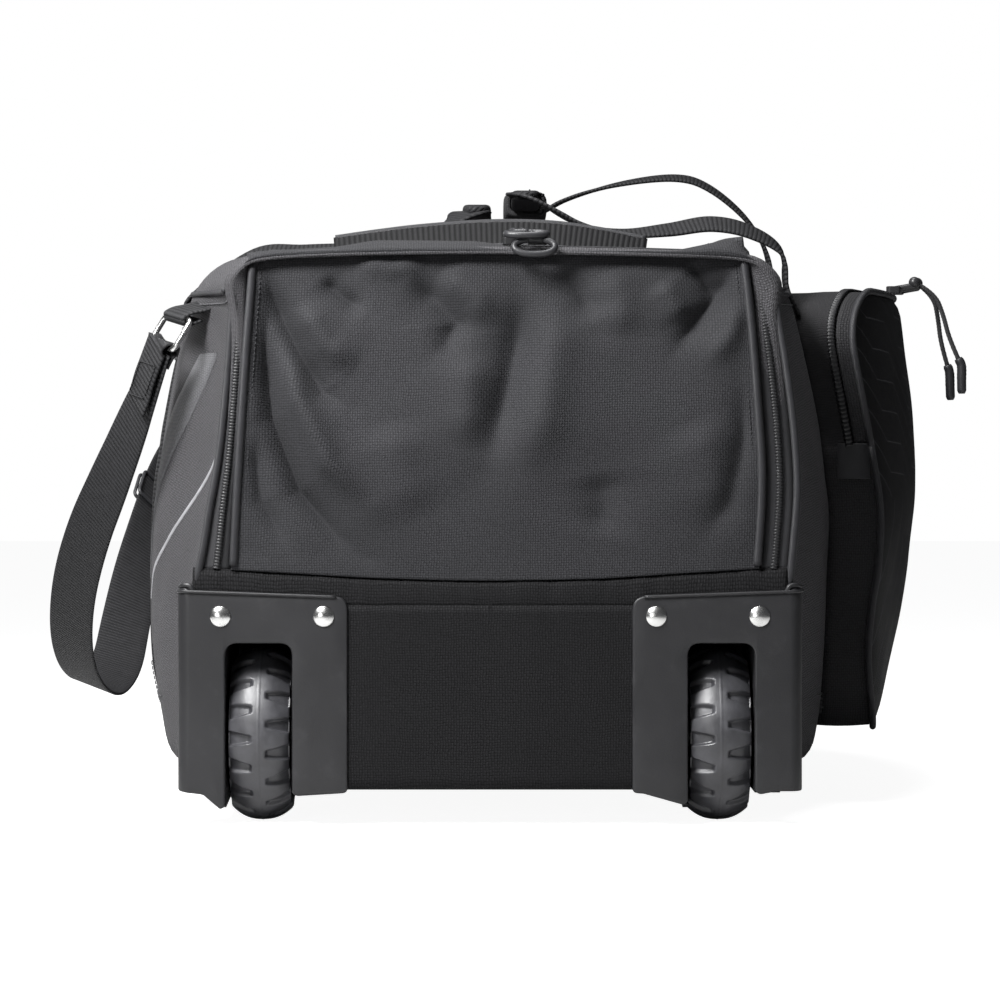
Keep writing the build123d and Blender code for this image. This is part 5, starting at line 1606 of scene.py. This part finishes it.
def build_handle(side, legs, legs_y, grip, name, twists):
    part = Part()
    for (leg, y), twist in zip(zip(legs, legs_y), twists):
        start = side * HANDLE_X
        middle = sum(legs_y) / 2
        toward = 1 if y < middle else -1
        points = [Vector((start + share * (grip[0] - start), y, HANDLE_Z + rise)) for share, rise in leg]
        points[-1] = Vector((grip[0] - side * -2, y + toward * 4, grip[1] + 0.5))
        points.append(Vector((grip[0], y + toward * 22, grip[1])))
        if side < 0:
            points = [on_side(-1, y, 330, 2.5)[0], on_side(-1, y, 346, 3.5)[0]]
            points += [on_top(x, y, 4.0)[0] for x in (-165, -130, -90, -62)]
            points += [Vector((-42, y, 387)), Vector((-26, y + toward * 2, 397))]
            points.append(Vector((grip[0] - 5, y + toward * 10, grip[1] - 1)))
            points.append(Vector((grip[0], y + toward * 26, grip[1])))
        else:
            points[0:1] = [on_side(1, y, 328, 2.5)[0], on_side(1, y, 345, 4.0)[0]]
        line = curve(points, 9)
        hints = []
        last = Vector((0, 1, 0))
        for k in range(len(line)):
            share = k / (len(line) - 1)
            ahead = line[min(k + 1, len(line) - 1)] - line[max(k - 1, 0)]
            flat = Vector((0, 0, 1)).cross(Vector((ahead.x, ahead.y, 0)))
            if flat.length > 0.4:
                last = flat.normalized() * (1 if flat.dot(last) > 0 else -1)
            lean = twist * sin(pi * min(share * 1.25, 1.0))
            hints.append((last + Vector((0, 0, lean))).normalized())
        fold = [1 - 0.42 * step(0.84, 0.97, k / (len(line) - 1)) for k in range(len(line))]
        part.sweep(line, strip_profile(WEB, 2.6, 8, 0.25), hints, scales=fold)
    bar = rounded_box(10, 4.5, 4, 4)
    first, last = legs_y[0] - 2, legs_y[1] + 2
    run = last - first
    line = [Vector((grip[0], first + run * k / 40, grip[1] + 0.8 * sin(k * 0.5))) for k in range(41)]
    part.sweep(line, bar, [Vector((1, 0, 0))] * len(line),
               scales=[0.55 + 0.45 * step(0, 3, k) * step(0, 3, 40 - k) for k in range(41)])
    node = "carry_handle_" + name
    body = "handle_" + name
    webbing = part.make(node + "_webbing", body, "webbing", STRAP_WEB, (node,), ride=False)
    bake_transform(webbing)


def build_sleeve():
    part = Part()
    x, z = RIGHT_GRIP
    first, last = 250.0, 380.0
    count = 48
    profile = rounded_box(15.3, 9.8, 7)
    rows = []
    inner = []
    for k in range(count + 1):
        share = k / count
        y = first + (last - first) * share
        ends = min(share, 1 - share)
        grow = 0.90 + 0.10 * step(0.0, 0.07, ends) - 0.05 * (1 - step(0.05, 0.09, abs(ends - 0.07)))
        puff = 1 + 0.04 * noise.noise(Vector((0, y * 0.04, 0)))
        rows.append([Vector((x + a * grow * puff, y, z + b * grow * puff)) for a, b in profile])
    for k in (count, 0):
        y = first + (last - first) * k / count
        inner.append([Vector((x + a * 0.70, y, z + b * 0.52)) for a, b in profile])
    part.grid([inner[1]] + rows + [inner[0], inner[1]], wrap=True)
    run = last - first - 8
    seam = [Vector((x + 3 + 0.3 * sin(k), first + 4 + run * k / 30, z + 10.2)) for k in range(31)]
    part.stitches(seam, [Vector((0, 0, 1))] * len(seam), 3.4, 2.4, 0.45)
    sleeve = part.make("grip_sleeve", "handle_right", "sleeve_pad", PAD, ("handle_sleeve",))


def build_grab():
    """The ribbed webbing across the top of the wheel end, with a bound upper edge."""
    part = Part()
    tilt = radians(34)
    arch = ((-100, 365.5), (-72, 369.5), (-42, 373.0), (0, 375.8), (38, 375.2), (70, 371.0), (100, 365.0))
    line = curve([Vector((x, 47, z)) for x, z in arch], 12)
    across = Vector((0, cos(tilt), sin(tilt)))
    part.sweep(line, strip_profile(30, 2.2, 8, 0.6), [across] * len(line))
    part.make("grab_webbing", "grab", "webbing", GRAB_WEB, ("grab_handle",))
    edge = Part()
    edge.tube([p + across * 14.6 for p in line], 2.2, 12)
    edge.tube([p - across * 14.4 for p in line], 1.3, 10)
    edge.make("grab_binding", "grab", "piping", PIPING)


def build_rings():
    part = Part()
    tabs = Part()
    for near in (True, False):
        at, bar, down = ring_frame(near)
        half = 23.0
        ring = rounded_outline([(-half, 0, 5), (half, 0, 5), (half, 22.0, 5), (-half, 22.0, 5)], 6)
        loop = [at + bar * a + down * b for a, b in ring]
        part.tube(loop, 2.0, 14, closed=True)
        flip = 1 if near else -1
        inward = Vector((0.86, -0.10 * flip, 0.20))
        inward = (inward - bar * inward.dot(bar)).normalized()
        lift = inward.cross(bar).normalized()
        if lift.z < 0:
            lift = -lift
        path = [at - lift * 3.3 + inward * 9, at - lift * 3.4 + inward * 2]
        path += [at - inward * (3.4 * sin(t)) - lift * (3.4 * cos(t)) for t in (0.6, 1.2, 1.9, 2.5)]
        path += [at + lift * 3.4 + inward * 4, at + lift * 2.2 + inward * 13, at + inward * 24 + lift * 1.5]
        line = curve(path, 5)
        tabs.sweep(line, strip_profile(WEB - 1, 2.0), [bar] * len(line))
    part.make("ring_wires", "root", "bright_steel", BRIGHT, ("strap_ring_near", "strap_ring_far"))
    tabs.make("ring_tabs", "root", "webbing", WEBBING, ("strap_tab_near", "strap_tab_far"))


def pull_ring(slider_x, shift, reach, drop, angle, body, node):
    """A moulded oval ring on two short cords from a slider's bridge."""
    y = 13.5
    z = 373.45
    part = Part()
    end = Vector((slider_x + shift, y - reach + 0.8, z - drop))
    turn = Matrix.Rotation(radians(angle), 3, "X")
    path = []
    for k in range(48):
        t = 2 * pi * k / 48
        v = 5.4 * sin(t)
        u = 12.8 * (abs(cos(t))**0.8) * (1 if cos(t) > 0 else -1)
        path.append(end + turn @ Vector((u, -7 + v, -1.8)))
    part.tube(path, 2.15, 14, closed=True)
    for way in (-1, 1):
        a = Vector((slider_x + way * 2.9, y, z))
        b = Vector((slider_x + way * 2.9 + shift * 0.35, y - reach * 0.5, z - drop * 0.3 + 2.0))
        c = end + turn @ Vector((way * 3.2 - shift * 0.4, -1.4, -1.8))
        part.tube(curve([a, b, c], 6), 1.15, 10)
    part.tube([Vector((slider_x - 3.7, y, z)), Vector((slider_x + 3.7, y, z))], 1.1, 10)
    knot = [end + turn @ Vector((reach_x - shift * 0.4, -1.6, -1.8)) for reach_x in (-5, 5)]
    part.tube(curve(knot, 4), 2.5, 12)
    part.make(node + "_ring", body, "moulded_pulls", PULL, (node,))


build_sewn_webbing(-1, LEFT_LEGS_Y)
build_sewn_webbing(1, RIGHT_LEGS_Y)
build_handle(-1, (LEFT_LEG, LEFT_LEG), LEFT_LEGS_Y, LEFT_GRIP, "left", (0.30, -0.1))
build_handle(1, (RIGHT_NEAR_LEG, RIGHT_FAR_LEG), RIGHT_LEGS_Y, RIGHT_GRIP, "right", (0.32, 0.22))
build_sleeve()
build_grab()
build_rings()
pull_ring(14, 9, 8, -2.5, 12, "pull_upper", "zip_pull_upper")
pull_ring(30, -2, 17, 2, 62, "pull_lower", "zip_pull_lower")
cad_copy("zip_slider_upper", "slider_upper_body", "slider_upper", ZIP_METAL, 0.5)
cad_copy("zip_slider_lower", "slider_lower_body", "slider_lower", ZIP_METAL, 0.5)


# ------------------------------------------------------------------ side trim, top zip and seams

# The band and the top zip's tape in cross-section: (place across it, height off the cloth)
BAND_SECTION = [(0, 0.1), (0.02, 0.8), (0.25, 0.95), (0.5, 0.95), (0.75, 0.95), (0.98, 0.8), (1, 0.1)]
TAPE_SECTION = [
    (-12, 0.1), (-11.4, 1.1), (-6, 1.3), (-2.5, 1.3), (2.5, 1.3), (6, 1.3), (11.4, 1.1), (12, 0.1),
]


def build_trim():
    rows = []
    for k in range(41):
        t = k / 40
        a = Vector((64, 300)).lerp(Vector((178, 150)), t)
        b = Vector((92, 300)).lerp(Vector((178, 205)), t)
        row = []
        for s, lift in BAND_SECTION:
            spot = a.lerp(b, s)
            p, _ = on_side(-1, spot.x, spot.y, lift)
            row.append(p)
        rows.append(row)
    part = Part()
    part.grid(rows)
    part.make("band_panel", "root", "grey_band", BAND, ("side_band",))
    rows = []
    for k in range(61):
        t = k / 60
        row = []
        for s, lift in ((-1.3, 0.1), (-0.9, 0.55), (0.9, 0.55), (1.3, 0.1)):
            p, _ = on_side(-1, 9 + 150 * t + s, 268 - 130 * t + s * 0.6 - 4 * sin(pi * t), lift)
            row.append(p)
        rows.append(row)
    part = Part()
    part.grid(rows)
    part.make("line_print", "root", "grey_band", LINE, ("side_line",))


def build_top_zip():
    tape = Part()
    rows = []
    for k in range(127):
        y = 110 + 5.0 * k
        rows.append([on_top(x, y, lift)[0] for x, lift in TAPE_SECTION])
    tape.grid(rows)
    for side in (-1, 1):
        line = [on_top(side * 9.5, 112 + 10.0 * k, 1.5)[0] for k in range(63)]
        tape.stitches(line, [Vector((0, 0, 1))] * len(line), 3.6, 2.4, 0.4)
    tape.make("top_zip_tape", "root", "zip_tape", TAPE, ("main_zip",))
    coil = Part()
    line = []
    for k in range(1500):
        y = 113 + 624.0 * k / 1499
        line.append(on_top(0, y, 1.6)[0])
    coil.sweep(line, strip_profile(5.0, 1.8, 2), [Vector((1, 0, 0))] * len(line),
               scales=[0.74 + 0.3 * (1 if k % 6 < 3 else 0) for k in range(1500)])
    coil.make("top_zip_coil", "root", "zip_tape", COIL)
    cad_copy("main_slider", "top_slider_body", "top_runner", ZIP_METAL, 0.5)
    cad_copy("main_pull", "top_pull_tab", "top_pull", PULL, 0.6)


def seam_height(y):
    """Height of the piped seam along the bag's shoulder."""
    return 338 + 9 * step(0, 350, y) - 4 * step(600, 835, y)


def build_seams():
    """Piped and topstitched seams that join the bag's panels."""
    piping = Part()
    threads = Part()
    for side in (-1, 1):
        line = [on_side(side, y, seam_height(y), 0.6)[0] for y in range(12, 824, 8)]
        piping.tube(line, 1.9, 10)
        path = []
        ups = []
        for y in range(14, 824, 8):
            p, up = on_side(side, y, seam_height(y) - 7, 0.3)
            path.append(p)
            ups.append(up)
        threads.stitches(path, ups, 3.6, 2.5, 0.4)
        path = []
        ups = []
        for y in range(125, 824, 8):
            p, up = on_side(side, y, 74, 0.3)
            path.append(p)
            ups.append(up)
        threads.stitches(path, ups, 3.6, 2.5, 0.4)
    ring = []
    for j in range(0, LOOP, 2):
        base = SURFACE[ROWS - 3][j]
        normal = NORMALS[ROWS - 3][j]
        ring.append(base + normal * 0.5 if base.z > 27 else base + Vector((0, 0, -0.5)))
    piping.tube(ring, 2.1, 10, closed=True)
    piping.make("seam_piping", "root", "piping", PIPING)
    threads.make("seam_topstitch", "root", "black_canvas", THREAD)


build_trim()
build_top_zip()
build_seams()


# ------------------------------------------------------------------ side pocket

POCKET_Y0, POCKET_Y1 = 150.0, 570.0
POCKET_Z0, POCKET_Z1 = 50.0, 345.0
POCKET_R = 45.0
HINGE_Z = 232.0
EDGE_X = [(50, 258), (100, 256), (135, 259), (160, 263), (190, 264.5), (240, 258), (268, 253), (300, 247),
          (330, 242), (345, 241)]
BULGE_X = [(50, 272), (72, 281), (113, 292), (160, 300), (212, 305), (232, 305.5), (300, 300), (337, 295),
           (345, 293)]


def pocket_x(y, z):
    """The pocket's face: x at y and z."""
    t = abs(y - 360) / 210
    edge = spread(EDGE_X, z)
    return edge + (spread(BULGE_X, z) - edge) * (1 - min(t, 1.0)**2.2)


def pocket_ring():
    """The pocket's outline from the side as (y, z), evenly enough spaced, from its lower near corner."""
    near, far = POCKET_Y0 + POCKET_R, POCKET_Y1 - POCKET_R
    low, high = POCKET_Z0 + POCKET_R, POCKET_Z1 - POCKET_R
    r = POCKET_R
    made = []
    for cy, cz, start in ((far, low, -90), (far, high, 0), (near, high, 90), (near, low, 180)):
        for k in range(11):
            t = radians(start + 90 * k / 10)
            made.append((cy + r * cos(t), cz + r * sin(t)))
    full = []
    for a, b in zip(made, made[1:] + made[:1]):
        run = sqrt((a[0] - b[0])**2 + (a[1] - b[1])**2)
        pieces = max(1, int(run / 8.5))
        for k in range(pieces):
            full.append((a[0] + (b[0] - a[0]) * k / pieces, a[1] + (b[1] - a[1]) * k / pieces))
    return full


def face_point(y, z, lift=0.0):
    crease = 1.5 * noise.noise(Vector((y * 0.012, z * 0.02, 12.0)))
    crease += 1.0 * noise.noise(Vector((y * 0.03, z * 0.012, 3.0)))
    inside = min(y - POCKET_Y0, POCKET_Y1 - y, z - POCKET_Z0, POCKET_Z1 - z)
    return Vector((pocket_x(y, z) + crease * step(6, 50, inside) + lift, y, z))


def build_pocket():
    outline = pocket_ring()
    count = len(outline)
    centre = (360.0, 200.0)
    face = Part()
    rows = []
    maps = []
    shares = [k / 26 for k in range(26)] + [0.985, 1.0]
    for share in shares:
        row = []
        line = []
        for y, z in outline:
            yy = centre[0] + (y - centre[0]) * share
            zz = centre[1] + (z - centre[1]) * share
            p = face_point(yy, zz)
            roll = 2.6 * step(0.94, 1.0, share)
            p.x -= roll
            row.append(p)
            line.append((yy * MM, zz * MM))
        line.append(line[0])
        rows.append(row)
        maps.append(line)
    face.grid(rows[1:], maps[1:], wrap=True)
    face.cap(0, count)
    face.maps[-1] = [(v.y * MM, v.z * MM) for v in (face.verts[i] for i in face.faces[-1])]
    cover = face.make("pocket_face", "root", "pocket_fabric", POCKET, ("pocket_cap", "pocket_tub"), solid=1.4,
                      ride=False)
    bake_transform(cover)

    def gusset_row(inset, y, z, direction):
        x = pocket_x(y, z) - 2.6 - inset
        puff = 1.2 * sin(pi * min(inset / 45.0, 1.0))
        return Vector((x, y + direction[0] * puff, z + direction[1] * puff))

    directions = []
    for i in range(count):
        a = outline[i - 1]
        b = outline[(i + 1) % count]
        d = Vector((b[1] - a[1], -(b[0] - a[0]))).normalized()
        directions.append((d.x, d.y))
    upper = [i for i in range(count) if outline[i][1] > HINGE_Z + 1]
    upper.sort(key=lambda i: atan2(outline[i][0] - 360, outline[i][1] - 150))
    lower = [i for i in range(count) if outline[i][1] <= HINGE_Z + 12]
    lower.sort(key=lambda i: -((atan2(outline[i][0] - 360, outline[i][1] - 250) + 2 * pi) % (2 * pi)))

    def body_reach(y, z):
        side, _ = on_side(1, min(max(y, 5), 830), z)
        return side.x - 1.0

    cap = Part()
    cap.grid([[gusset_row(d, *outline[i], directions[i]) for d in (0, 1.5, 4.5, 8, 11)] for i in upper])
    cap.make("pocket_cap_gusset", "pocket_cover", "pocket_fabric", GUSSET, ("pocket_cap",), solid=1.2)
    tub = Part()
    for indices, start in ((upper, 11.8), (lower, 0.0)):
        rows = []
        for i in indices:
            y, z = outline[i]
            x_face = pocket_x(y, z) - 2.6
            depth = max(x_face - body_reach(y, z), start + 4)
            row = []
            for share in (0, 0.06, 0.2, 0.4, 0.6, 0.8, 1.0):
                inset = start + (depth - start) * share
                row.append(gusset_row(inset, y, z, directions[i]))
            rows.append(row)
        tub.grid(rows)
    tub.make("pocket_gusset", "root", "pocket_fabric", GUSSET, ("pocket_tub",), solid=1.2)

    piping = Part()
    for indices, body, tag in ((upper, "pocket_cover", "upper"), (lower, "root", "lower")):
        line = [face_point(*outline[i]) + Vector((-2.4, directions[i][0] * 1.4, directions[i][1] * 1.4))
                for i in indices]
        Part().tube(line, 2.3, 12).make("pocket_piping_" + tag, body, "piping", PIPING)
    line = []
    for i in upper:
        line.append(gusset_row(14.6, *outline[i], directions[i]) + Vector((0, *directions[i])))
    smooth_line = curve(line, 12)
    coil = Part()
    coil.sweep(smooth_line, strip_profile(5.4, 2.0, 2), [Vector((1, 0, 0))] * len(smooth_line),
               scales=[0.76 + 0.28 * (1 if k % 4 < 2 else 0) for k in range(len(smooth_line))])
    coil.make("pocket_zip_coil", "root", "zip_tape", COIL, ("pocket_zip",))
    for y_side in (-1, 1):
        y = POCKET_Y0 if y_side < 0 else POCKET_Y1
        x = pocket_x(y, HINGE_Z)
        patch = Part()
        rows = []
        for z in (218, 219, 226, 234, 241, 242):
            rows.append([Vector((x - 4 - k, y + y_side * (1.6 if 0 < j < 4 else 0.3), z))
                         for j, k in enumerate((0, 1, 12, 22, 23))])
        patch.grid(rows)
        tag = "near" if y_side < 0 else "far"
        patch.make("pocket_zip_stop_" + tag, "root", "piping", PIPING, solid=0.8)
    for key in "ab":
        cad_copy("pocket_slider_" + key, "pocket_slider_body_" + key, "pocket_runner_" + key,
                 ZIP_METAL, 0.45)


build_pocket()


# ------------------------------------------------------------------ far end, rails and hidden parts

def build_tow():
    part = Part()
    y = BODY_LENGTH + 2.6
    grip_y, grip_z = BODY_LENGTH + 19, END_TOP - 83
    for side in (-1, 1):
        x = side * 74.5
        line = curve([Vector((x, y, END_TOP - 43)), Vector((x, y + 5, END_TOP - 58)),
                      Vector((x, grip_y - 3, grip_z + 8)), Vector((x - side * 2, grip_y, grip_z)),
                      Vector((x - side * 2, grip_y - 3, grip_z - 5))], 8)
        part.sweep(line, strip_profile(25, 2.2), [Vector((1, 0, 0))] * len(line))
    line = [Vector((-70 + 140 * k / 20, grip_y, grip_z)) for k in range(21)]
    part.tube(line, 6.0, 16)
    part.make("tow_webbing", "tow", "webbing", STRAP_WEB, ("tow_handle",))
    grip = Part()
    line = [Vector((-61 + 122 * k / 160, grip_y, grip_z)) for k in range(161)]
    sizes = [(0.93 + 0.07 * (1 if k % 8 < 5 else 0)) * (1 if 6 < k < 154 else 0.9) for k in range(161)]
    grip.tube(line, 11.3, 24, scales=sizes)
    grip.make("tow_grip_rubber", "tow", "grip_rubber", GRIP, ("tow_grip",))
    tabs = Part()
    for side in (-1, 1):
        rows = []
        for k in range(14):
            z = END_TOP - 41 + 26 * k / 13
            lift = 0.2 if k in (0, 13) else 1.5
            rows.append([Vector((side * 62 + side * s, BODY_LENGTH - 0.6 + (lift if 0 < j < 5 else 0.1), z))
                         for j, s in enumerate((0, 0.5, 8, 17, 24.5, 25))])
        tabs.grid(rows, flip=side > 0)
    tabs.make("tow_tab_webbing", "root", "webbing", WEBBING, ("tow_tabs",), solid=1.2)


build_tow()
cad_copy("skid_rails", "rails_moulded", "root", HOUSING, 1.2)
cad_copy("far_feet", "feet_moulded", "root", HOUSING, 1.5)
paint(BOARD, "end_board", "base_board")
paint(STEEL, "backing_plates", "axle_left", "axle_right", "rail_screws")
paint(HUB, "hub_left", "hub_right", "bush_left", "bush_right")
